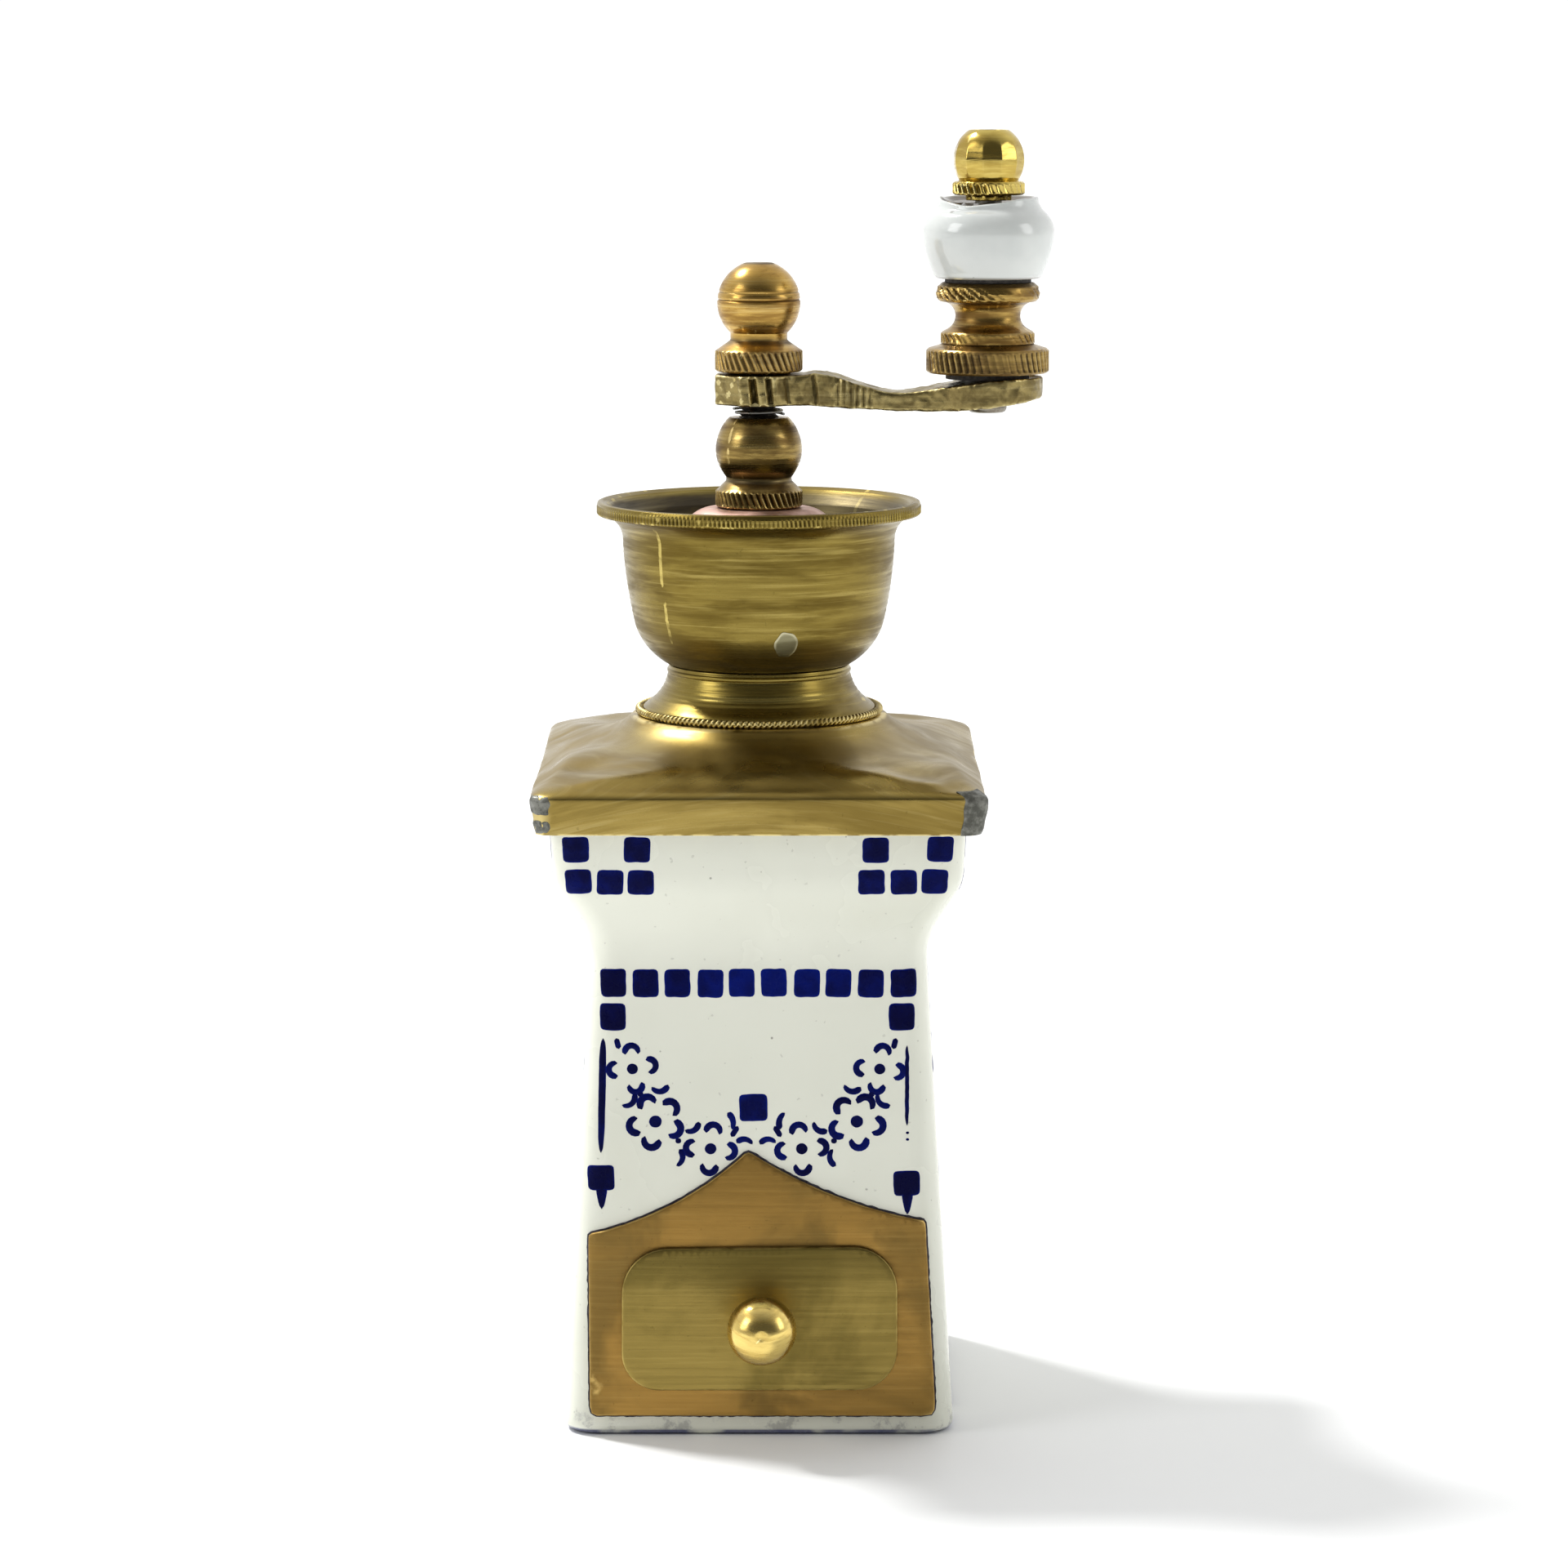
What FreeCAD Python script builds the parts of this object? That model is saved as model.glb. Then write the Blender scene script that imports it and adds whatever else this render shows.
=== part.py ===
import FreeCAD, Part
import math
import os
from FreeCAD import Vector

# Small hand crank coffee mill with a ceramic body. Millimetres, +Z up, the drawer faces -Y,
# and the origin is the middle of the flat base, on the table.

# --- ceramic body -----------------------------------------------------------------------
BASE_HALF = 29.35           # half width at the table, if the foot had a sharp edge
WAIST_HALF = 25.0
WAIST_Z = 74.2
FLARE_HALF = 30.3
FLARE_Z = 83.6
CROWN_HALF = 30.9
BODY_TOP = 97.0
WAIST_ROUND = 12.0
FLARE_ROUND = 8.0
CORNER_ROUND = 4.4          # the four upright corners
FOOT_ROUND = 1.6
WALL = 4.7
FLOOR_TOP = 8.6

# --- front plate and drawer -------------------------------------------------------------
PLATE_THICK = 0.8
PLATE_BOTTOM = 3.2
PLATE_LEFT = -25.2          # the plate is cut by hand: its sides and shoulders don't match
PLATE_RIGHT = 26.4
LEFT_SHOULDER = (-25.4, 30.8)
RIGHT_SHOULDER = (24.9, 32.7)
PEAK_X = -1.5
PEAK_Z = 42.9
RIVET_X = -1.0
RIVET_Z = 35.5
RIVET_HEAD_R = 2.4
RIVET_SHANK_R = 1.3
MOUTH_HALF = 18.4           # drawer mouth in the plate
MOUTH_BOTTOM = 8.95
MOUTH_TOP = 27.2
SHEET = 0.4                 # tinplate of the drawer guide and tray
GUIDE_HALF = 18.5
GUIDE_TOP = 26.4
GUIDE_BACK = 21.6
TRAY_HALF = 17.85
TRAY_BOTTOM = 9.2
TRAY_TOP = 25.6
TRAY_BACK = 20.6
SHEET_BEND = 1.0
FRONT_HALF = 20.6
FRONT_BOTTOM = 7.3
FRONT_TOP = 29.0
FRONT_ROUND = 6.0
FRONT_THICK = 1.0
FRONT_GAP = 0.12            # between the closed drawer and the plate
KNOB_X = 0.5
KNOB_Z = 18.0
KNOB_R = 5.1
KNOB_REACH = 7.4            # ball centre in front of the drawer face
KNOB_SHANK_R = 1.25

# --- brass cap, neck and hopper ---------------------------------------------------------
SKIRT_BOTTOM = 91.7
SKIRT_BOTTOM_HALF = 32.85
SKIRT_TOP = 97.2
SKIRT_TOP_HALF = 33.65
CAP_TOP = 105.5
CAP_FLAT_R = 19.1
CAP_SHEET = 0.8
SOLDER_SIZE = 2.4
BEAD_RING_R = 18.3
BEAD_WIRE_R = 0.6
NECK_TOP = 113.0
NECK_TOP_R = 13.75
NECK_BORE_R = 12.85
BOWL_WALL = 0.8
BOWL_THROAT_R = 10.6
RIM_R = 24.6
RIM_TOP = 137.9
BRIDGE_TURN = 13.0          # degrees that the hopper bridge is turned from front to back
BRIDGE_WIDTH = 8.0
BRIDGE_TOP = 135.2
BRIDGE_THICK = 2.0
BRIDGE_RIVET_Z = 117.6
BRIDGE_RIVET_R = 1.4
BRIDGE_RIVET_SEAT = 14.4    # from the axis to the inner face of the strap's leg, at the rivet
BRIDGE_EYE_R = 8.0
BUSH_R = 5.2
BUSH_BOTTOM = 130.4
WASHER_R = 10.3

# --- grinding gear ----------------------------------------------------------------------
SHAFT_R = 3.0
SHAFT_TIP_R = 2.5
SHAFT_BOTTOM = 95.5
RUNNING_GAP = 0.05
RING_FLANGE_R = 17.4
RING_FLANGE_BOTTOM = 101.8
LOWER_STRAP_BOTTOM = 97.2
RING_TOP = 112.8
RING_BARREL_R = 12.6
RING_MOUTH_R = 9.7
RING_EXIT_R = 10.6
CONE_BOTTOM = 101.9
CONE_TOP = 112.0
CONE_BOTTOM_R = 9.9
CONE_TOP_R = 5.5
BURR_TEETH = 14
STRAP_SCREW_R = 15.2
SCREW_R = 1.25

# --- adjusting nut, crank and handle ----------------------------------------------------
NUT_BOTTOM = 136.9
NUT_TOP = 150.0
LOCK_WIRE_R = 0.23
ARM_SEAT = 152.45
ARM_HUB_TOP = 157.0
SQUARE = 4.4
STUD_R = 2.2
CRANK_NUT_BOTTOM = 157.4
BALL_R = 6.3
BALL_Z = 167.75
BALL_TOP = 173.7
HANDLE_X = 34.5
PAD_R = 8.4
PAD_TOP = 156.3
PIN_R = 2.0
PIN_TOP = 190.0
SPOOL_BOTTOM = 157.2
SPOOL_TOP = 170.8
BEAD_BOTTOM = 171.4
BEAD_TOP = 183.6
FINIAL_BOTTOM = 183.0
TOTAL_HEIGHT = 193.0

TAPER = math.degrees(math.atan((BASE_HALF - WAIST_HALF) / WAIST_Z))
PLATE_FACE = -PLATE_THICK
DRAWER_BACK = PLATE_FACE - FRONT_GAP
DRAWER_FACE = DRAWER_BACK - FRONT_THICK
UP = Vector(0, 0, 1)
ORIGIN = Vector(0, 0, 0)


def rounded_wire(corners):
    """Closed wire in the XZ plane. A corner is (x, z), or (x, z, radius) where it is rounded."""
    points = [Vector(c[0], 0, c[1]) for c in corners]
    radii = [c[2] if len(c) > 2 else 0.0 for c in corners]
    count = len(points)
    arcs = []
    for i in range(count):
        back = (points[i - 1] - points[i]).normalize()
        ahead = (points[(i + 1) % count] - points[i]).normalize()
        half_angle = back.getAngle(ahead) / 2
        reach = radii[i] / math.tan(half_angle)
        start = points[i] + back * reach
        end = points[i] + ahead * reach
        middle = points[i]
        if radii[i]:
            toward = (back + ahead).normalize()
            middle = points[i] + toward * (radii[i] / math.sin(half_angle) - radii[i])
        arcs.append((start, middle, end))
    edges = []
    for i in range(count):
        start, middle, end = arcs[i]
        if radii[i]:
            edges.append(Part.Arc(start, middle, end).toShape())
        following = arcs[(i + 1) % count][0]
        if end.distanceToPoint(following) > 1e-6:
            edges.append(Part.LineSegment(end, following).toShape())
    return Part.Wire(edges)


def mirrored(corners):
    """The same corners on the other side of the Z axis."""
    return [(-c[0],) + tuple(c[1:]) for c in corners]


def profile_wire(start, steps):
    """Closed wire in the XZ plane. A step of two numbers is a line's end, and one of four is
    an arc's middle point and end."""
    edges = []
    here = Vector(start[0], 0, start[1])
    for step in steps + [start]:
        there = Vector(step[-2], 0, step[-1])
        if len(step) == 4:
            edges.append(Part.Arc(here, Vector(step[0], 0, step[1]), there).toShape())
        elif here.distanceToPoint(there) > 1e-6:
            edges.append(Part.LineSegment(here, there).toShape())
        here = there
    return Part.Wire(edges)


def ball_steps(centre_z, radius, low_r, high_r):
    """A line to the ball's lower edge, and the arc from there over its widest point."""
    low_z = centre_z - math.sqrt(radius ** 2 - low_r ** 2)
    high_z = centre_z + math.sqrt(radius ** 2 - high_r ** 2)
    return [(low_r, low_z), (radius, centre_z, high_r, high_z)]


def turned(wire):
    """Solid of revolution about Z of a closed wire in the XZ plane."""
    return Part.Face(wire).revolve(ORIGIN, UP, 360)


def slab(wire, near, far):
    """Solid between y = near and y = far with the outline of a wire in the XZ plane."""
    face = Part.Face(wire)
    face.translate(Vector(0, near, 0))
    return face.extrude(Vector(0, far - near, 0))


def rod(radius, low, high, x=0.0, y=0.0):
    """Upright cylinder."""
    return Part.makeCylinder(radius, high - low, Vector(x, y, low))


def block(low, high):
    """Box between two opposite corners."""
    size = Vector(*high) - Vector(*low)
    return Part.makeBox(size.x, size.y, size.z, Vector(*low))


def on_front(shape):
    """Leans a shape built against the plane y = 0 onto the tapered front of the body."""
    leaned = shape.copy()
    leaned.rotate(ORIGIN, Vector(1, 0, 0), -TAPER)
    leaned.translate(Vector(0, -BASE_HALF, 0))
    return leaned


def spun(shape, degrees):
    """Copy of a shape turned about the Z axis."""
    copy = shape.copy()
    copy.rotate(ORIGIN, UP, degrees)
    return copy


def square_wire(half, radius, z):
    """Rounded square about the Z axis, level, with four sides and four corner arcs."""
    flat = half - radius
    slant = flat + radius * math.sqrt(0.5)
    edges = []
    for quarter in range(4):
        turn = FreeCAD.Rotation(UP, 90 * quarter)
        points = [(half, -flat), (half, flat), (slant, slant), (flat, half)]
        a, b, middle, c = [turn.multVec(Vector(x, y, 0)) + Vector(0, 0, z) for x, y in points]
        edges.append(Part.LineSegment(a, b).toShape())
        edges.append(Part.Arc(b, middle, c).toShape())
    return Part.Wire(edges)


def save(node, shape):
    """Writes one sub-part, under its node's name."""
    shape.exportStep("parts/" + node + ".step")


# --- ceramic body -----------------------------------------------------------------------

def tower(corners, corner_round):
    """Square tower whose four sides share one profile, with rounded upright corners."""
    wire = rounded_wire(corners + mirrored(corners)[::-1])
    wide = BASE_HALF + CROWN_HALF
    sides = slab(wire, -wide, wide)
    both = sides.common(spun(sides, 90))
    upright = []
    for edge in both.Edges:
        ends = [v.Point for v in edge.Vertexes]
        diagonal = all(abs(abs(p.x) - abs(p.y)) < 1e-4 for p in ends)
        if diagonal and len(ends) == 2 and abs(ends[0].z - ends[1].z) > 0.1:
            upright.append(edge)
    return both.makeFillet(corner_round, upright)


def ceramic_body():
    outside = tower([(BASE_HALF, 0), (WAIST_HALF, WAIST_Z, WAIST_ROUND),
                     (FLARE_HALF, FLARE_Z, FLARE_ROUND), (CROWN_HALF, BODY_TOP)], CORNER_ROUND)
    foot = [e for e in outside.Edges if e.BoundBox.ZMax < 0.01]
    outside = outside.makeFillet(FOOT_ROUND, foot)
    lift = 1.0                                  # the hollow runs out past the open top
    inside = tower([(BASE_HALF - WALL, FLOOR_TOP), (WAIST_HALF - WALL, WAIST_Z, WAIST_ROUND),
                    (FLARE_HALF - WALL, FLARE_Z, FLARE_ROUND),
                    (CROWN_HALF - WALL, BODY_TOP + lift)], CORNER_ROUND - 1.5)
    body = outside.cut(inside)
    mouth = rounded_wire([(-GUIDE_HALF, FLOOR_TOP, SHEET_BEND), (GUIDE_HALF, FLOOR_TOP, SHEET_BEND),
                          (GUIDE_HALF, MOUTH_TOP), (-GUIDE_HALF, MOUTH_TOP)])
    body = body.cut(slab(mouth, -BASE_HALF - 2, 0))
    rivet_hole = Part.makeCylinder(RIVET_SHANK_R, WALL + 2, Vector(RIVET_X, -1, RIVET_Z), Vector(0, 1, 0))
    return body.cut(on_front(rivet_hole))


# --- front plate and drawer -------------------------------------------------------------

def drawer_escutcheon():
    """House-shaped plate: a rectangle with a hollow-sided gable and clipped corners."""
    clip, peak_half = 0.9, 0.8
    left, right = LEFT_SHOULDER, RIGHT_SHOULDER
    start = (PLATE_LEFT + clip, PLATE_BOTTOM)
    steps = [(PLATE_RIGHT - clip, PLATE_BOTTOM), (PLATE_RIGHT, PLATE_BOTTOM + clip),
             (right[0], right[1] - clip), (right[0] - clip, right[1]),
             (7.9, 37.5, PEAK_X + peak_half, PEAK_Z), (PEAK_X - peak_half, PEAK_Z),
             (-9.7, 36.5, left[0] + clip, left[1]), (left[0], left[1] - clip),
             (PLATE_LEFT, PLATE_BOTTOM + clip)]
    plate = slab(profile_wire(start, steps), PLATE_FACE, 0)
    mouth = rounded_wire([(-MOUTH_HALF, MOUTH_BOTTOM, 1), (MOUTH_HALF, MOUTH_BOTTOM, 1),
                          (MOUTH_HALF, MOUTH_TOP, 1), (-MOUTH_HALF, MOUTH_TOP, 1)])
    plate = plate.cut(slab(mouth, -2, 1))
    seat = Part.makeCylinder(RIVET_HEAD_R, 2, Vector(RIVET_X, -1.5, RIVET_Z), Vector(0, 1, 0))
    return on_front(plate.cut(seat))


def escutcheon_rivet():
    """Flush head in the plate, a shank through the wall and a clenched head inside."""
    along = Vector(0, 1, 0)
    head = Part.makeCylinder(RIVET_HEAD_R, PLATE_THICK, Vector(RIVET_X, PLATE_FACE, RIVET_Z), along)
    wall = WALL * math.cos(math.radians(TAPER))
    shank = Part.makeCylinder(RIVET_SHANK_R, wall, Vector(RIVET_X, 0, RIVET_Z), along)
    clench = Part.makeCylinder(RIVET_HEAD_R, PLATE_THICK, Vector(RIVET_X, wall, RIVET_Z), along)
    return on_front(head.fuse([shank, clench]).removeSplitter())


def drawer_sleeve():
    """Tinplate trough that guides the drawer, open at the top and closed at the back."""
    low = FLOOR_TOP
    outer = [(-GUIDE_HALF, low, SHEET_BEND), (GUIDE_HALF, low, SHEET_BEND),
             (GUIDE_HALF, GUIDE_TOP), (-GUIDE_HALF, GUIDE_TOP)]
    inner_half = GUIDE_HALF - SHEET
    bend = SHEET_BEND - SHEET
    inner = [(-inner_half, low + SHEET, bend), (inner_half, low + SHEET, bend),
             (inner_half, GUIDE_TOP + 1), (-inner_half, GUIDE_TOP + 1)]
    trough = slab(rounded_wire(outer), -BASE_HALF - 2, GUIDE_BACK)
    trough = trough.cut(slab(rounded_wire(inner), -BASE_HALF - 3, GUIDE_BACK - SHEET))
    in_front = on_front(block((-40, -10, -5), (40, 0, 60)))
    return trough.cut(in_front)


def knob_shank_hole():
    """Cutter for the knob's shank, through the drawer's front and the tray's front wall."""
    length = 10.0
    start = Vector(KNOB_X, DRAWER_FACE - 1, KNOB_Z)
    return Part.makeCylinder(KNOB_SHANK_R, length, start, Vector(0, 1, 0))


def drawer_box():
    """Tinplate tray, open at the top; its front wall leans with the body."""
    outer = slab(rounded_wire([(-TRAY_HALF, TRAY_BOTTOM, SHEET_BEND),
                               (TRAY_HALF, TRAY_BOTTOM, SHEET_BEND),
                               (TRAY_HALF, TRAY_TOP), (-TRAY_HALF, TRAY_TOP)]), -40, TRAY_BACK)
    half = TRAY_HALF - SHEET
    bend = SHEET_BEND - SHEET
    inner = slab(rounded_wire([(-half, TRAY_BOTTOM + SHEET, bend), (half, TRAY_BOTTOM + SHEET, bend),
                               (half, TRAY_TOP + 1), (-half, TRAY_TOP + 1)]), -40, TRAY_BACK - SHEET)
    outer = outer.cut(on_front(block((-40, -20, -5), (40, DRAWER_BACK, 60))))
    inner = inner.cut(on_front(block((-40, -20, -5), (40, DRAWER_BACK + SHEET, 60))))
    return outer.cut(inner).cut(on_front(knob_shank_hole()))


def drawer_front():
    """Rounded brass plate that overlaps the drawer's mouth all round."""
    right = [(FRONT_HALF, FRONT_BOTTOM, FRONT_ROUND), (FRONT_HALF, FRONT_TOP, FRONT_ROUND)]
    face = rounded_wire(right + mirrored(right)[::-1])
    plate = slab(face, DRAWER_FACE, DRAWER_BACK)
    outer_edges = [e for e in plate.Edges if e.BoundBox.YMax < DRAWER_FACE + 0.01]
    plate = plate.makeFillet(0.35, outer_edges)
    return on_front(plate.cut(knob_shank_hole()))


def lying_on_front(shape):
    """Turns a shape made about +Z to point forward out of the drawer, at the knob's height."""
    lying = shape.copy()
    lying.rotate(ORIGIN, Vector(1, 0, 0), 90)
    lying.translate(Vector(KNOB_X, DRAWER_FACE, KNOB_Z))
    return on_front(lying)


def drawer_knob():
    """Turned ball on a flared neck, with a threaded shank; its length runs along its axis."""
    shank_end = -(FRONT_THICK + SHEET + 2.2)
    steps = [(KNOB_SHANK_R, shank_end), (KNOB_SHANK_R, 0), (3.5, 0), (3.5, 0.5), (2.5, 1.1, 2.2, 2.0)]
    steps += ball_steps(KNOB_REACH, KNOB_R, 2.2, 1.0)
    steps.append((0, KNOB_REACH + math.sqrt(KNOB_R ** 2 - 1)))
    return lying_on_front(turned(profile_wire((0, shank_end), steps)))


def drawer_knob_nut():
    """Hexagon nut on the knob's shank, inside the tray."""
    outer_r = 2.9
    low = -(FRONT_THICK + SHEET + 1.5)
    corners = [Vector(outer_r * math.cos(k * math.pi / 3), outer_r * math.sin(k * math.pi / 3), low)
               for k in range(7)]
    nut = Part.Face(Part.makePolygon(corners)).extrude(Vector(0, 0, 1.5))
    return lying_on_front(nut.cut(rod(KNOB_SHANK_R, low - 1, low + 3)))


# --- cap, neck and hopper ---------------------------------------------------------------

def cap_skin(inset):
    """Solid under the cap's surface, or under its inner face for an inset of the sheet."""
    low = SKIRT_BOTTOM - (1.0 if inset else 0.0)
    skirt = Part.makeLoft([square_wire(SKIRT_BOTTOM_HALF - inset, 2.6 - inset, low),
                           square_wire(SKIRT_TOP_HALF - inset, 2.6 - inset, SKIRT_TOP)], True, True)
    # (half width, corner radius, height): square at the edge, round where the neck stands
    rings = [(SKIRT_TOP_HALF, 2.6, SKIRT_TOP), (32.6, 3.0, 98.3), (29.6, 6.0, 99.5),
             (26.0, 11.0, 101.2), (22.4, 16.5, 103.6), (CAP_FLAT_R, CAP_FLAT_R - 0.05, CAP_TOP)]
    wires = [square_wire(h - inset, max(r - inset, 0.8), z - (inset if z > SKIRT_TOP else 0))
             for h, r, z in rings]
    return skirt.fuse(Part.makeLoft(wires, True, False))


def solder_blocks():
    """The four corner notches of the skirt, as cutters."""
    far = SKIRT_TOP_HALF + 1
    near = SKIRT_TOP_HALF - SOLDER_SIZE
    corner = block((near, near, SKIRT_BOTTOM - 1), (far, far, SKIRT_TOP - 0.4))
    return [spun(corner, 90 * k) for k in range(4)]


def cap_parts():
    """The pressed cap with its notched corners, and the solder that fills them."""
    shell = cap_skin(0.0).cut(cap_skin(CAP_SHEET))
    shell = shell.cut(rod(NECK_BORE_R, 100, CAP_TOP + 1))
    for side in (-1, 1):
        shell = shell.cut(rod(SCREW_R, 100, CAP_TOP + 1, side * STRAP_SCREW_R))
    solder = [shell.common(b) for b in solder_blocks()]
    for notch in solder_blocks():
        shell = shell.cut(notch)
    return shell, Part.makeCompound(solder)


def cap_cement_bed():
    """Plaster between the skirt and the crown of the body."""
    low = SKIRT_BOTTOM + 1.0
    outer = Part.makeLoft([square_wire(SKIRT_BOTTOM_HALF - CAP_SHEET, 2, low),
                           square_wire(SKIRT_BOTTOM_HALF - CAP_SHEET, 2, BODY_TOP)], True, True)
    inner = Part.makeLoft([square_wire(CROWN_HALF, 3.2, low - 1),
                           square_wire(CROWN_HALF, 3.2, BODY_TOP + 1)], True, True)
    return outer.cut(inner)


def neck_pedestal():
    foot_r = BEAD_RING_R - BEAD_WIRE_R
    steps = [(foot_r, CAP_TOP), (foot_r, CAP_TOP + 1.2), (15.25, 108.5, 14.0, 111.3),
             (NECK_TOP_R, 112.0), (NECK_TOP_R, NECK_TOP), (NECK_BORE_R, NECK_TOP)]
    neck = turned(profile_wire((NECK_BORE_R, CAP_TOP), steps))
    for side in (-1, 1):
        neck = neck.cut(rod(SCREW_R, CAP_TOP - 1, CAP_TOP + 1.7, side * STRAP_SCREW_R))
    return neck


def neck_bead_ring():
    """Round wire that covers the joint between neck and cap."""
    return Part.makeTorus(BEAD_RING_R, BEAD_WIRE_R, Vector(0, 0, CAP_TOP + BEAD_WIRE_R))


# The bowl's outside from its foot to under the rim: three arcs end to end.
BOWL_OUTSIDE = [(13.6, 113.0), (16.9, 115.6), (18.75, 118.8), (19.95, 125.0), (20.6, 131.8),
                (21.3, 134.3), (23.4, 135.8)]


def inward(points, distance):
    """Points moved to their left as seen from one to the next, which is into the bowl."""
    moved = []
    for i, (r, z) in enumerate(points):
        before = points[max(i - 1, 0)]
        after = points[min(i + 1, len(points) - 1)]
        run, rise = after[0] - before[0], after[1] - before[1]
        length = math.hypot(run, rise)
        moved.append((r - distance * rise / length, z + distance * run / length))
    return moved


def bowl_solid(outside):
    """Everything inside a line of the bowl's wall, up to the rim."""
    steps = [outside[i] + outside[i + 1] for i in (1, 3, 5)]
    top = RIM_TOP + 1
    steps += [(outside[-1][0], top), (0, top)]
    return turned(profile_wire((0, outside[0][1]), [outside[0]] + steps))


def bridge_rivet():
    """One rivet of the bridge, pointing out along -Y, longer than the wall is thick."""
    along = Vector(0, -1, 0)
    head_r, head_thick, length = 2.2, 1.2, 9.0
    seat = Vector(0, -BRIDGE_RIVET_SEAT, BRIDGE_RIVET_Z)
    shank = Part.makeCylinder(BRIDGE_RIVET_R, length, seat, along)
    head = Part.makeCylinder(head_r, head_thick, seat - along * head_thick, along)
    return shank.fuse(head)


def hopper_parts():
    """The spun bowl, the bridge across it and the bridge's two rivets."""
    inner_line = inward(BOWL_OUTSIDE, BOWL_WALL)
    full = bowl_solid(BOWL_OUTSIDE)
    foot = (BOWL_THROAT_R, BOWL_OUTSIDE[0][1])
    steps = [BOWL_OUTSIDE[0]]
    steps += [BOWL_OUTSIDE[i] + BOWL_OUTSIDE[i + 1] for i in (1, 3, 5)]
    steps += [(RIM_R, 136.0), (RIM_R, RIM_TOP - 0.5), (RIM_R - 0.5, RIM_TOP), (23.0, 137.3)]
    back = inner_line[::-1]
    steps += [back[0]] + [back[i] + back[i + 1] for i in (1, 3, 5)]
    steps += [(BOWL_THROAT_R, back[-1][1])]
    bowl = turned(profile_wire(foot, steps))

    half = BRIDGE_WIDTH / 2
    leg_outside = [(16.0, 116.8), (17.4, 119.2), (18.6, 125.2), (19.1, 131.0), (19.2, BRIDGE_TOP, 2.6)]
    leg_inside = [(y - BRIDGE_THICK, z) for y, z in leg_outside[:4]]
    leg_inside.append((19.1 - BRIDGE_THICK, BRIDGE_TOP - BRIDGE_THICK, 0.8))
    outline = leg_outside + mirrored(leg_outside)[::-1] + mirrored(leg_inside) + leg_inside[::-1]
    strap = slab(rounded_wire(outline), -half, half)
    strap.rotate(ORIGIN, UP, 90)
    eye = rod(BRIDGE_EYE_R, BRIDGE_TOP - BRIDGE_THICK, BRIDGE_TOP)
    bridge = strap.fuse(eye).removeSplitter().cut(rod(BUSH_R, 125, BRIDGE_TOP + 1))
    rivets = []
    for turn in (0, 180):
        whole = spun(bridge_rivet(), turn)
        bridge = bridge.cut(whole)
        bowl = bowl.cut(spun(whole, BRIDGE_TURN))
        rivets.append(spun(whole.common(full), BRIDGE_TURN))
    return bowl, spun(bridge, BRIDGE_TURN), Part.makeCompound(rivets)


def bridge_bush():
    """Flanged bush pressed up into the bridge; the shaft turns in it."""
    bore = SHAFT_R + RUNNING_GAP
    low = BUSH_BOTTOM
    flange_top = BRIDGE_TOP - BRIDGE_THICK
    steps = [(6.8, low), (6.8, flange_top), (BUSH_R, flange_top), (BUSH_R, BRIDGE_TOP), (bore, BRIDGE_TOP)]
    return turned(profile_wire((bore, low), steps))


def thrust_washer():
    """Domed copper washer that the adjusting nut turns on."""
    bore = SHAFT_R + 0.3
    top = NUT_BOTTOM - 0.08
    steps = [(WASHER_R, BRIDGE_TOP), (WASHER_R, BRIDGE_TOP + 0.4), (9.2, top - 0.45, 6.9, top), (bore, top)]
    return turned(profile_wire((bore, BRIDGE_TOP), steps))


# --- grinding gear ----------------------------------------------------------------------

def groove_cutters(low_r, high_r, low, high, depth, lean):
    """Leaning V cutters along a cone, one for each tooth."""
    width = 1.5
    cutters = []
    for k in range(BURR_TEETH):
        turn = 360.0 * k / BURR_TEETH
        rows = []
        for r, z, skew in ((low_r, low, -lean), (high_r, high, lean)):
            tip = Vector(r - depth, 0, z)
            points = [tip, Vector(r + depth, width, z), Vector(r + depth, -width, z), tip]
            wire = Part.makePolygon(points)
            wire.rotate(ORIGIN, UP, turn + skew)
            rows.append(wire)
        cutters.append(Part.makeLoft(rows, True, True))
    return cutters


def ring_burr():
    """Cast ring with a clamping flange and a toothed mouth that opens a little downwards."""
    steps = [(RING_FLANGE_R, RING_FLANGE_BOTTOM), (RING_FLANGE_R, CAP_TOP - CAP_SHEET),
             (RING_BARREL_R, CAP_TOP - CAP_SHEET), (RING_BARREL_R, RING_TOP), (RING_MOUTH_R, RING_TOP)]
    ring = turned(profile_wire((RING_EXIT_R, RING_FLANGE_BOTTOM), steps))
    for side in (-1, 1):
        ring = ring.cut(rod(SCREW_R, 100, 106, side * STRAP_SCREW_R))
    cutters = groove_cutters(RING_EXIT_R, RING_MOUTH_R, RING_FLANGE_BOTTOM - 1, RING_TOP + 1, -0.9, 9)
    return ring.cut(Part.makeCompound(cutters))


def cone_burr():
    """Toothed cone that narrows upwards, pinned to the shaft."""
    start = (SHAFT_R, CONE_BOTTOM)
    steps = [(CONE_BOTTOM_R, CONE_BOTTOM), (CONE_TOP_R, CONE_TOP), (SHAFT_R, CONE_TOP)]
    cone = turned(profile_wire(start, steps))
    slope = (CONE_BOTTOM_R - CONE_TOP_R) / (CONE_TOP - CONE_BOTTOM)
    cutters = groove_cutters(CONE_BOTTOM_R + slope, CONE_TOP_R - slope, CONE_BOTTOM - 1, CONE_TOP + 1,
                             1.1, 14)
    return cone.cut(Part.makeCompound(cutters)).cut(burr_pin())


def burr_pin():
    """Cross pin through the cone and the shaft."""
    return Part.makeCylinder(0.9, 8.4, Vector(-4.2, 0, CONE_TOP - 2.6), Vector(1, 0, 0))


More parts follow.
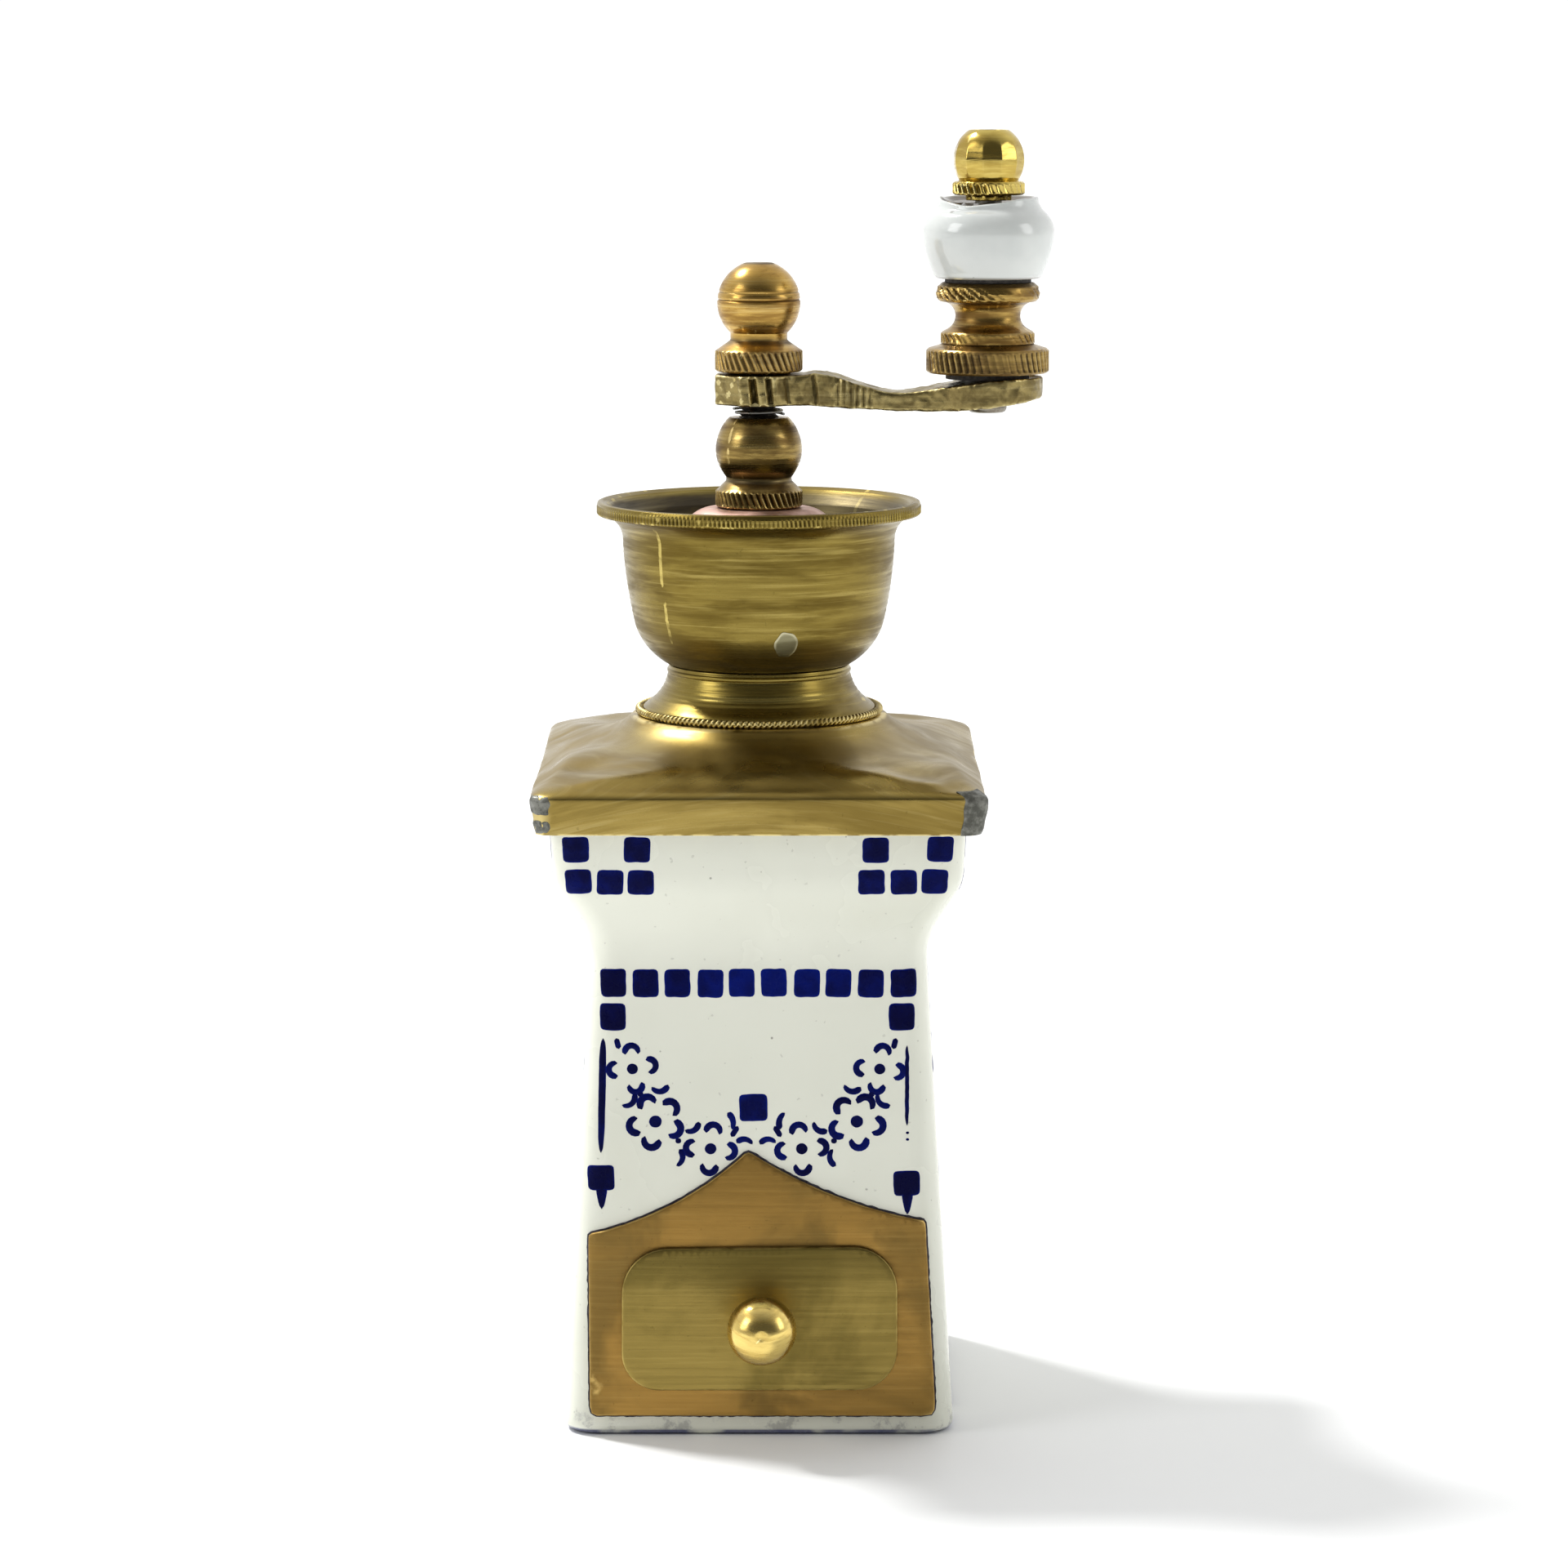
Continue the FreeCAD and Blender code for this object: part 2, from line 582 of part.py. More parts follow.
def lower_bearing_bridge():
    """Steel strap under the burrs, with raised ends that clamp the ring burr."""
    low = LOWER_STRAP_BOTTOM
    sole = low + 2.0
    top = RING_FLANGE_BOTTOM
    corners = [(-18, low), (18, low), (18, top), (12.8, top), (12.8, sole), (-12.8, sole),
               (-12.8, top), (-18, top)]
    strap = slab(rounded_wire(corners), -4.5, 4.5)
    strap = strap.cut(rod(SHAFT_TIP_R + RUNNING_GAP, low - 1, top + 1))
    for side in (-1, 1):
        strap = strap.cut(rod(SCREW_R, low - 1, top + 1, side * STRAP_SCREW_R))
    return strap


def lower_bridge_screws():
    low = LOWER_STRAP_BOTTOM
    screws = []
    for side in (-1, 1):
        x = side * STRAP_SCREW_R
        screw = rod(2.3, low - 1.5, low, x).fuse(rod(SCREW_R, low, CAP_TOP + 1.6, x))
        slot = block((x - 3, -0.35, low - 2), (x + 3, 0.35, low - 0.9))
        screws.append(screw.cut(slot))
    return Part.makeCompound(screws)


def drive_shaft():
    """Plain tip, collar under the cone, threaded body, square for the crank and a top stud."""
    collar_top = CONE_BOTTOM
    shaft = rod(SHAFT_TIP_R, SHAFT_BOTTOM, collar_top - 1)
    shaft = shaft.fuse(rod(4.6, collar_top - 1, collar_top))
    shaft = shaft.fuse(rod(SHAFT_R, collar_top, ARM_SEAT))
    half = SQUARE / 2
    square = block((-half, -half, ARM_SEAT), (half, half, ARM_HUB_TOP))
    shaft = shaft.fuse(square.common(rod(SHAFT_R, ARM_SEAT, ARM_HUB_TOP)))
    shaft = shaft.fuse(rod(STUD_R, ARM_HUB_TOP, BALL_Z - 1.5))
    return shaft.removeSplitter().cut(burr_pin())


def coil(wire_r, coil_r, low, high, turns):
    """Spring about Z between two heights: rings of points along a helix, joined by triangles."""
    sides = 8
    steps = int(16 * turns)
    first = low + wire_r
    rise = high - low - 2 * wire_r
    rings = []
    for i in range(steps + 1):
        around = 2 * math.pi * turns * i / steps
        ring = []
        for k in range(sides):
            section = 2 * math.pi * k / sides
            r = coil_r + wire_r * math.cos(section)
            z = first + rise * i / steps + wire_r * math.sin(section)
            ring.append(Vector(r * math.cos(around), r * math.sin(around), z))
        rings.append(ring)
    faces = [Part.Face(Part.makePolygon(ring + ring[:1])) for ring in (rings[0], rings[-1])]
    for ring, following in zip(rings, rings[1:]):
        for k in range(sides):
            a, b = ring[k], ring[(k + 1) % sides]
            c, d = following[k], following[(k + 1) % sides]
            faces.append(Part.Face(Part.makePolygon([a, b, d, a])))
            faces.append(Part.Face(Part.makePolygon([a, d, c, a])))
    return Part.makeSolid(Part.makeShell(faces))


# --- adjusting nut, crank and handle ----------------------------------------------------

def adjusting_nut():
    """Ball nut with a collar for the fingers. It turns on the washer and lifts the shaft."""
    bore = SHAFT_R + RUNNING_GAP
    steps = [(6.3, NUT_BOTTOM), (6.63, NUT_BOTTOM + 0.3), (6.63, 139.3), (6.1, 139.6), (5.0, 140.9),
             (4.95, 141.3)]
    steps += ball_steps(145.7, 6.6, 5.0, 4.5)
    steps += [(bore, 145.7 + math.sqrt(6.6 ** 2 - 4.5 ** 2))]
    return turned(profile_wire((bore, NUT_BOTTOM), steps))


def crank_ball_nut():
    """Blind ball nut that holds the crank on its square."""
    stud_top = BALL_Z - 1.3
    steps = [(6.3, CRANK_NUT_BOTTOM), (6.65, CRANK_NUT_BOTTOM + 0.3), (6.65, 160.5), (6.2, 160.8),
             (4.6, 161.9), (4.25, 162.3)]
    steps += ball_steps(BALL_Z, BALL_R, 4.25, 2.1)
    steps += [(0, BALL_TOP), (0, stud_top), (STUD_R, stud_top)]
    return turned(profile_wire((STUD_R, CRANK_NUT_BOTTOM), steps))


def arm_side_wire():
    """Side view of the arm: level hub, a hump, a dip and a rising end."""
    top = [Vector(x, 0, z) for x, z in ((6.9, ARM_HUB_TOP), (10.6, 157.3), (14.6, 156.0), (19.5, 154.5),
                                        (26.0, 155.0), (34.5, 156.3), (43.2, 156.6))]
    bottom = [Vector(x, 0, z) for x, z in ((43.2, 153.7), (34.5, 152.3), (23.0, 151.6), (15.0, 152.0),
                                           (4.5, ARM_SEAT))]
    edges = []
    for points in (top, bottom):
        curve = Part.BSplineCurve()
        curve.interpolate(points)
        edges.append(curve.toShape())
    corners = [(-8, ARM_SEAT), (-8, ARM_HUB_TOP)]
    left = [bottom[-1]] + [Vector(x, 0, z) for x, z in corners] + [top[0]]
    edges += [Part.LineSegment(a, b).toShape() for a, b in zip(left, left[1:])]
    edges.append(Part.LineSegment(top[-1], bottom[0]).toShape())
    return Part.Wire(Part.__sortEdges__(edges))


def arm_plan():
    """Plan of the arm, as an upright prism: eight-sided hub, waisted arm and round pad."""
    low, height = 150.0, 9.0
    hub_r = 7.1
    hub_points = [Vector(hub_r * math.cos(math.radians(a)), hub_r * math.sin(math.radians(a)), low)
                  for a in range(22, 383, 45)]
    hub_points[-1] = hub_points[0]
    hub = Part.Face(Part.makePolygon(hub_points)).extrude(Vector(0, 0, height))
    one_side = [(4.0, 5.2), (8.0, 4.2), (12.0, 5.1), (18.0, 4.3), (24.0, 4.5), (29.0, 6.3), (34.5, PAD_R)]
    edges = []
    for sign in (1, -1):
        curve = Part.BSplineCurve()
        curve.interpolate([Vector(x, sign * y, low) for x, y in one_side])
        edges.append(curve.toShape())
    for x, y in (one_side[0], one_side[-1]):
        edges.append(Part.LineSegment(Vector(x, -y, low), Vector(x, y, low)).toShape())
    blade = Part.Face(Part.Wire(Part.__sortEdges__(edges))).extrude(Vector(0, 0, height))
    pad = rod(PAD_R, low, low + height, HANDLE_X)
    return hub.fuse([blade, pad])


def crank_arm():
    """Cast arm. A low boss under the nut, a flat seat for the handle, and a square hole."""
    arm = slab(arm_side_wire(), -12, 12).common(arm_plan())
    arm = arm.fuse(rod(4.6, ARM_HUB_TOP - 0.5, CRANK_NUT_BOTTOM))
    arm = arm.cut(rod(PAD_R - 0.6, PAD_TOP, PAD_TOP + 3, HANDLE_X))
    return arm.cut(drive_shaft()).cut(handle_pin())


def handle_pin():
    """Pin riveted in the arm, with a domed head below and a thread on top."""
    head_r = 2.9
    low, seat = 151.2, 152.5
    steps = [(2.2, low), (head_r, 151.7, head_r, 152.2), (head_r, seat), (PIN_R, seat)]
    steps += [(PIN_R, PIN_TOP), (0, PIN_TOP)]
    pin = turned(profile_wire((0, low), steps))
    pin.translate(Vector(HANDLE_X, 0, 0))
    return pin


def handle_piece(start, steps):
    """A turned piece of the handle, on the handle's own axis."""
    piece = turned(profile_wire(start, steps))
    piece.translate(Vector(HANDLE_X, 0, 0))
    return piece


def handle_washer():
    top = SPOOL_BOTTOM - 0.08
    return handle_piece((PIN_R, PAD_TOP), [(6.3, PAD_TOP), (6.3, top), (PIN_R, top)])


def handle_spool():
    """Turned brass foot of the handle: flange, step, waist and bead."""
    bore = PIN_R + RUNNING_GAP
    steps = [(8.9, SPOOL_BOTTOM), (9.3, SPOOL_BOTTOM + 0.3), (9.3, 160.6), (8.9, 160.9), (7.6, 161.4),
             (7.1, 161.5), (7.1, 163.2), (6.6, 163.5), (4.9, 165.6, 6.5, 167.9), (7.6, 168.1),
             (7.9, 169.2, 7.6, 170.2), (6.9, SPOOL_TOP), (bore, SPOOL_TOP)]
    return handle_piece((bore, SPOOL_BOTTOM), steps)


def bead_seat_washer():
    bore = PIN_R + 0.1
    return handle_piece((bore, SPOOL_TOP), [(6.5, SPOOL_TOP), (6.5, BEAD_BOTTOM), (bore, BEAD_BOTTOM)])


def handle_bead():
    """Glazed grip: full-bellied, drawn in at the shoulder, with a dished top."""
    bore = PIN_R + 0.3
    dish = FINIAL_BOTTOM - 0.1
    steps = [(8.0, BEAD_BOTTOM), (8.3, BEAD_BOTTOM + 0.4), (9.6, 174.6, 10.0, 177.6),
             (9.7, 179.9, 8.5, 181.7), (7.7, 182.5, 7.3, 183.4), (7.0, BEAD_TOP), (5.6, dish), (bore, dish)]
    return handle_piece((bore, BEAD_BOTTOM), steps)


def handle_finial():
    """Cap nut on the pin: short neck, collar and ball."""
    steps = [(3.6, FINIAL_BOTTOM), (3.6, 183.8), (5.2, 183.8), (5.5, 184.1), (5.5, 185.5), (5.2, 185.8)]
    steps += ball_steps(189.0, 5.4, 4.4, 3.0)
    steps += [(2.6, TOTAL_HEIGHT), (0, TOTAL_HEIGHT), (0, PIN_TOP), (PIN_R, PIN_TOP)]
    return handle_piece((PIN_R, FINIAL_BOTTOM), steps)


def main():
    os.makedirs("parts", exist_ok=True)
    save("ceramic_body", ceramic_body())
    save("drawer_escutcheon", drawer_escutcheon())
    save("escutcheon_rivet", escutcheon_rivet())
    save("drawer_sleeve", drawer_sleeve())
    save("drawer_box", drawer_box())
    save("drawer_front", drawer_front())
    save("drawer_knob", drawer_knob())
    save("drawer_knob_nut", drawer_knob_nut())
    shell, solder = cap_parts()
    save("cap_shell", shell)
    save("corner_solder", solder)
    save("cap_cement_bed", cap_cement_bed())
    save("neck_pedestal", neck_pedestal())
    save("neck_bead_ring", neck_bead_ring())
    bowl, bridge, rivets = hopper_parts()
    save("hopper_bowl", bowl)
    save("hopper_bridge", bridge)
    save("bridge_rivets", rivets)
    save("bridge_bush", bridge_bush())
    save("thrust_washer", thrust_washer())
    save("ring_burr", ring_burr())
    save("lower_bearing_bridge", lower_bearing_bridge())
    save("lower_bridge_screws", lower_bridge_screws())
    save("adjusting_nut", adjusting_nut())
    save("lock_spring", coil(LOCK_WIRE_R, 3.5, NUT_TOP + 0.75, ARM_SEAT - 0.05, 1.75))
    save("drive_shaft", drive_shaft())
    save("cone_burr", cone_burr())
    save("cone_burr_pin", burr_pin())
    save("spindle_spring", coil(0.4, 4.2, CONE_TOP, BUSH_BOTTOM, 7))
    save("crank_arm", crank_arm())
    save("crank_ball_nut", crank_ball_nut())
    save("handle_pin", handle_pin())
    save("handle_washer", handle_washer())
    save("handle_finial", handle_finial())
    save("handle_spool", handle_spool())
    save("bead_seat_washer", bead_seat_washer())
    save("handle_bead", handle_bead())


main()
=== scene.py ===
import math
import random
import bmesh
import bpy
import numpy as np
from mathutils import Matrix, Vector, noise
from mathutils.geometry import delaunay_2d_cdt


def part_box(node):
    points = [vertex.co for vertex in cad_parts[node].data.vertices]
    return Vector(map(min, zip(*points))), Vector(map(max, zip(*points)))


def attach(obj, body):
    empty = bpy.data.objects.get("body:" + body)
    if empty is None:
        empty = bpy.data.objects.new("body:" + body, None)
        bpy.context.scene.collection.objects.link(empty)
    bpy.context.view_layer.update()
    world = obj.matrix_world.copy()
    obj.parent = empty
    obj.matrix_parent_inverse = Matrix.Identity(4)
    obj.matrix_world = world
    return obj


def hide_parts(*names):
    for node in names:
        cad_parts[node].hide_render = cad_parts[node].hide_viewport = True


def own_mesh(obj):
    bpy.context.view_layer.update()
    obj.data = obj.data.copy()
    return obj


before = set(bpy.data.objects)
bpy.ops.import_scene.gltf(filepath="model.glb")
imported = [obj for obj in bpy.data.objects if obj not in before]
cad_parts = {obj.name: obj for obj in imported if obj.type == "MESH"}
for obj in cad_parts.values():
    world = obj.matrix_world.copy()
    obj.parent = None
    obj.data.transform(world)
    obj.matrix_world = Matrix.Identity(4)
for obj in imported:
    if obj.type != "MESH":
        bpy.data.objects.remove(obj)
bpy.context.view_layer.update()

# A small coffee mill: glazed body with cobalt painting, brass cap, neck and hopper, crank and
# drawer. Lengths are millimetres, and turn into metres where a mesh is made.

random.seed(11)
MM = 0.001
HANDLE_X = (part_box("handle_spool")[0].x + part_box("handle_spool")[1].x) / 2 / MM


def low_of(node):
    """Height of a node's lowest point."""
    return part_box(node)[0].z / MM


def high_of(node):
    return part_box(node)[1].z / MM


# --- lines and grids --------------------------------------------------------------------

def arc(start, middle, end, count=10):
    """Points of the arc through three points, without the first."""
    (ax, ay), (bx, by), (cx, cy) = start, middle, end
    d = 2 * (ax * (by - cy) + bx * (cy - ay) + cx * (ay - by))
    a2, b2, c2 = ax * ax + ay * ay, bx * bx + by * by, cx * cx + cy * cy
    ox = (a2 * (by - cy) + b2 * (cy - ay) + c2 * (ay - by)) / d
    oy = (a2 * (cx - bx) + b2 * (ax - cx) + c2 * (bx - ax)) / d
    radius = math.hypot(ax - ox, ay - oy)
    first = math.atan2(ay - oy, ax - ox)
    way = 1 if (bx - ax) * (cy - by) - (by - ay) * (cx - bx) > 0 else -1
    sweep = (math.atan2(cy - oy, cx - ox) - first) * way % (2 * math.pi) * way
    angles = [first + sweep * (i + 1) / count for i in range(count)]
    return [(ox + radius * math.cos(a), oy + radius * math.sin(a)) for a in angles]


def ball(centre, radius, low_r, high_r, count=30):
    """Outline of a ball from radius low_r under its widest point to high_r over it."""
    angles = np.linspace(-math.acos(low_r / radius), math.acos(high_r / radius), count)
    return [(radius * math.cos(a), centre + radius * math.sin(a)) for a in angles]


def soft(corners, radius=0.15, step=0.7):
    """Open line with its corners rounded and its straight runs cut into steps. A corner may
    carry its own radius as a third number."""
    points = [np.array(c[:2], float) for c in corners]
    line = [points[0]]
    for i in range(1, len(points) - 1):
        back, ahead = points[i - 1] - points[i], points[i + 1] - points[i]
        reach_back, reach_ahead = np.linalg.norm(back), np.linalg.norm(ahead)
        back, ahead = back / reach_back, ahead / reach_ahead
        half = math.acos(max(-1.0, min(1.0, float(back @ ahead)))) / 2
        wanted = corners[i][2] if len(corners[i]) > 2 else radius
        if half > math.radians(83) or wanted == 0:
            line.append(points[i])
            continue
        reach = min(wanted / math.tan(half), 0.45 * reach_back, 0.45 * reach_ahead)
        real = reach * math.tan(half)
        middle = points[i] + (back + ahead) / np.linalg.norm(back + ahead) * (real / math.sin(half) - real)
        count = 3 if real < 1 else 10
        start = points[i] + back * reach
        line.append(start)
        line += [np.array(p) for p in arc(start, middle, points[i] + ahead * reach, count)]
    line.append(points[-1])
    cut = [line[0]]
    for before, after in zip(line, line[1:]):
        parts = max(1, math.ceil(np.linalg.norm(after - before) / step))
        cut += [before + (after - before) * (k + 1) / parts for k in range(parts)]
    return np.array(cut)


def smooth_step(value, low, high):
    t = np.clip((value - low) / (high - low), 0, 1)
    return t * t * (3 - 2 * t)


def through(keys, count):
    """Smooth curve through rows of numbers (Catmull-Rom), count points to a span."""
    keys = np.array(keys, float)
    padded = np.vstack([2 * keys[0] - keys[1], keys, 2 * keys[-1] - keys[-2]])
    rows = [keys[0]]
    for i in range(1, len(padded) - 2):
        a, b, c, d = padded[i - 1:i + 3]
        for k in range(1, count + 1):
            t = k / count
            rows.append(0.5 * (2 * b + (c - a) * t + (2 * a - 5 * b + 4 * c - d) * t * t
                               + (3 * b - a - 3 * c + d) * t ** 3))
    return np.array(rows)


def grid_faces(rows, columns, loop=False):
    """Quads between rows of points that each go once around."""
    faces = []
    for i in range(rows if loop else rows - 1):
        low, high = i * columns, (i + 1) % rows * columns
        for k in range(columns):
            n = (k + 1) % columns
            faces.append((low + k, low + n, high + n, high + k))
    return faces


def capped(rows, columns):
    """Faces of a tube of rings, closed at both ends."""
    return grid_faces(rows, columns) + [tuple(range(columns))[::-1],
                                        tuple(range((rows - 1) * columns, rows * columns))]


def wrapped(angle):
    """The same angle between -pi and pi."""
    return (angle + math.pi) % (2 * math.pi) - math.pi


def piece(name, points, faces, body, material, replaces=(), crease=34, tone=None):
    """Closed mesh from points in millimetres, riding on a CAD body."""
    mesh = bpy.data.meshes.new(name)
    mesh.from_pydata((np.asarray(points, float) * MM).tolist(), [], faces)
    if tone is not None:
        mesh.attributes.new("tone", "FLOAT", "POINT").data.foreach_set("value", tone)
    work = bmesh.new()
    work.from_mesh(mesh)
    bmesh.ops.remove_doubles(work, verts=work.verts, dist=3e-7)
    bmesh.ops.dissolve_degenerate(work, edges=work.edges, dist=1e-8)
    loose = [v for v in work.verts if not v.link_faces]
    bmesh.ops.delete(work, geom=loose, context="VERTS")
    bmesh.ops.recalc_face_normals(work, faces=work.faces)
    work.to_mesh(mesh)
    work.free()
    return placed(name, mesh, body, material, replaces, crease)


def placed(name, mesh, body, material, replaces=(), crease=34):
    """Object for a finished mesh, shaded smooth up to the crease angle."""
    mesh.shade_smooth()
    mesh.set_sharp_from_angle(angle=math.radians(crease))
    mesh.materials.clear()
    mesh.materials.append(material)
    made = bpy.data.objects.new(name, mesh)
    bpy.context.scene.collection.objects.link(made)
    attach(made, body)
    if replaces:
        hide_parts(*replaces)
    return made


def lathe(name, outline, columns, body, material, replaces=(), x=0.0, shape=None, place=None,
          loop=True, tone=None):
    """Turned piece. outline is (radius, height); shape may change the grid, place moves it, and
    tone gives each height of the outline its share of darkening, mostly painted shade."""
    outline = np.asarray(outline, float)
    radius = np.repeat(outline[:, :1], columns, 1)
    height = np.repeat(outline[:, 1:2], columns, 1)
    angle = np.linspace(0, 2 * math.pi, columns, endpoint=False)[None, :].repeat(len(outline), 0)
    if shape:
        radius, height = shape(radius, height, angle)
    points = np.stack([x + radius * np.cos(angle), radius * np.sin(angle), height], -1).reshape(-1, 3)
    if place:
        points = np.array([place(*p) for p in points])
    if tone is not None:
        tone = np.repeat(tone, columns)
    return piece(name, points, grid_faces(len(outline), columns, loop), body, material, replaces,
                 tone=tone)


def grooves(radius, height, angle, low, high, outer, teeth, depth, lean=0.0, ragged=0.0, sharp=2.0):
    """Radius with grooves cut into a collar's outside, between two heights."""
    tooth = teeth * (angle / (2 * math.pi) + lean * (height - low))
    cut = (0.5 + 0.5 * np.cos(2 * math.pi * tooth)) ** sharp
    uneven = 1 + ragged * np.sin(np.floor(tooth + 0.5) % teeth * 12.9898)
    edge = 0.25
    window = smooth_step(height, low - edge, low + edge) * smooth_step(-height, -high - edge, -high + edge)
    return radius - depth * cut * uneven * window * smooth_step(radius, outer - 0.9, outer - 0.1)


# --- material kit -----------------------------------------------------------------------

class Paint:
    """A material's node tree, written by short calls."""

    def __init__(self, name, **constants):
        self.material = bpy.data.materials.new(name)
        self.material.use_nodes = True
        self.tree = self.material.node_tree
        self.shader = self.tree.nodes["Principled BSDF"]
        for socket, value in constants.items():
            self.shader.inputs[socket.replace("_", " ")].default_value = value
        self.at = self.node("ShaderNodeTexCoord").outputs["Object"]

    def node(self, kind, inputs=None, **settings):
        made = self.tree.nodes.new(kind)
        for key, value in settings.items():
            setattr(made, key, value)
        for key, value in (inputs or {}).items():
            self.put(made.inputs[key], value)
        return made

    def put(self, socket, value):
        if isinstance(value, bpy.types.NodeSocket):
            self.tree.links.new(value, socket)
        elif socket.type == "RGBA" and len(value) == 3:
            socket.default_value = (*value, 1)
        else:
            socket.default_value = value

    def noise(self, scale, detail=2.0, rough=0.5, at=None, stretch=None, twist=0.0):
        """Noise from 0 to 1; scale is in cells to the metre."""
        place = at or self.at
        if stretch:
            place = self.node("ShaderNodeMapping", {"Vector": place, "Scale": stretch}).outputs[0]
        inputs = {"Vector": place, "Scale": scale, "Detail": detail, "Roughness": rough, "Distortion": twist}
        return self.node("ShaderNodeTexNoise", inputs).outputs["Fac"]

    def cells(self, scale, at=None, feature="F1"):
        inputs = {"Vector": at or self.at, "Scale": scale}
        return self.node("ShaderNodeTexVoronoi", inputs, feature=feature).outputs["Distance"]

    def level(self, value, low, high, first=0.0, last=1.0):
        """Smooth step from first at low to last at high."""
        inputs = {"Value": value, "From Min": low, "From Max": high, "To Min": first, "To Max": last}
        return self.node("ShaderNodeMapRange", inputs, interpolation_type="SMOOTHSTEP").outputs["Result"]

    def math(self, operation, a, b=0.0):
        return self.node("ShaderNodeMath", {0: a, 1: b}, operation=operation).outputs[0]

    def mix(self, share, a, b, blend="MIX"):
        made = self.node("ShaderNodeMix", {0: share, 6: a, 7: b}, data_type="RGBA", blend_type=blend)
        return made.outputs[2]

    def axis(self, name):
        return self.node("ShaderNodeSeparateXYZ", {0: self.at}).outputs[name]

    def around(self, x=0.0, lines=2600.0, drift=45.0):
        """Place whose noise runs in lines around the upright axis through x."""
        across = self.math("SUBTRACT", self.axis("X"), x * MM)
        depth = self.axis("Y")
        radius = self.math("SQRT", self.math("ADD", self.math("MULTIPLY", across, across),
                                             self.math("MULTIPLY", depth, depth)))
        rise = self.math("ADD", self.axis("Z"), self.math("MULTIPLY", radius, 0.4))
        parts = {0: self.math("MULTIPLY", across, drift), 1: self.math("MULTIPLY", depth, drift),
                 2: self.math("MULTIPLY", rise, lines)}
        return self.node("ShaderNodeCombineXYZ", parts).outputs[0]

    def tone(self):
        """The mesh's own per-point share: paint tone on the cobalt painting, darkening (mostly painted shade)
        on the brass and the grip.
        """
        return self.node("ShaderNodeAttribute", attribute_name="tone").outputs["Fac"]

    def edges(self, low, high):
        """1 on convex edges; with low over high, 1 in creases."""
        point = self.node("ShaderNodeNewGeometry").outputs["Pointiness"]
        return self.level(point, low, high)

    def bump(self, height, distance, strength=1.0, under=None):
        inputs = {"Height": height, "Distance": distance * MM, "Strength": strength}
        if under:
            inputs["Normal"] = under
        return self.node("ShaderNodeBump", inputs).outputs["Normal"]

    def done(self, colour, roughness, normal=None, metallic=None):
        self.put(self.shader.inputs["Base Color"], colour)
        self.put(self.shader.inputs["Roughness"], roughness)
        if normal:
            self.put(self.shader.inputs["Normal"], normal)
        if metallic is not None:
            self.put(self.shader.inputs["Metallic"], metallic)
        return self.material


def brass(name, main, dark, pale, rough=0.36, lines=0.5, x=0.0, crease_grime_and_shade=0.7, patch=110, sheet=False,
          pitted=0.25, line_scale=2600.0, patina_and_shade=False, darker_upward=None):
    """Aged brass: patches of dark tarnish, tool lines, worn edges, grime and painted shade in the creases, a
    darker band towards the top where asked, and darkening from the mesh's tone, mostly painted shade.
    """
    p = Paint(name, Metallic=1.0)
    if sheet:
        cloud = p.level(p.noise(patch, 4, 0.62, twist=0.6), 0.38, 0.66)
    else:
        place = p.around(x, patch * 2.6, patch * 0.45)
        cloud = p.level(p.noise(1.0, 4, 0.62, at=place, twist=0.4), 0.38, 0.66)
    colour = p.mix(cloud, main, dark)
    if sheet:
        streak = p.noise(1.0, 4, 0.6, stretch=(35, 35, line_scale * 0.6))
        fine = p.noise(1.0, 2, 0.5, stretch=(90, 90, line_scale * 2.2))
    else:
        streak = p.noise(1.0, 4, 0.6, at=p.around(x, line_scale * 0.5))
        fine = p.noise(1.0, 2, 0.5, at=p.around(x, line_scale * 2.0, 80))
    colour = p.mix(p.level(streak, 0.52, 0.72, 0, lines), colour, pale)
    colour = p.mix(p.level(streak, 0.48, 0.3, 0, lines), colour, dark)
    colour = p.mix(p.level(fine, 0.56, 0.75, 0, lines * 0.5), colour, pale)
    spots = p.level(p.noise(1500, 2, 0.6), 0.68, 0.76, 0, pitted)
    # Dark colour for the grime in the pits, the grime and painted shade in the creases, and the darker upward
    # band.
    grime_and_shade = tuple(0.25 * c for c in dark)
    colour = p.mix(spots, colour, grime_and_shade)
    # Painted shade with grime: concave creases darken towards the dark colour.
    creases = p.math("MULTIPLY", p.edges(0.492, 0.462), crease_grime_and_shade)
    colour = p.mix(creases, colour, grime_and_shade)
    worn = p.math("MULTIPLY", p.edges(0.515, 0.56), p.level(p.noise(420, 3), 0.35, 0.55))
    colour = p.mix(worn, colour, tuple(min(1.0, 1.25 * c) for c in pale))
    roughness = p.math("ADD", p.level(cloud, 0, 1, rough - 0.03, rough + 0.12),
                       p.level(streak, 0.3, 0.7, 0.07, -0.05))
    roughness = p.math("ADD", roughness, p.math("MULTIPLY", creases, 0.25))
    # Darker towards the top over a band of heights (low, high, share), a little less in the dark patches.
    if darker_upward:
        low, high, share = darker_upward
        upward_darkening = p.math("MULTIPLY", p.level(p.axis("Z"), low * MM, high * MM, 0, share),
                      p.level(cloud, 0, 1, 1, 0.7))
        colour = p.mix(upward_darkening, colour, grime_and_shade)
    # Darkening from the mesh's tone: mostly painted shade in hollows, on undersides and in gaps between
    # parts, with some darker tarnish.
    if patina_and_shade:
        tone = p.tone()
        tone = p.math("MULTIPLY", tone, p.level(cloud, 0, 1, 0.85, 1.0))
        colour = p.mix(tone, colour, (0.06, 0.05, 0.035))
        roughness = p.math("ADD", roughness, p.math("MULTIPLY", tone, 0.2))
    normal = p.bump(fine, 0.012, 0.7, p.bump(streak, 0.03, 0.6, p.bump(p.noise(300, 3, 0.6), 0.05, 0.5)))
    return p.done(colour, roughness, normal)


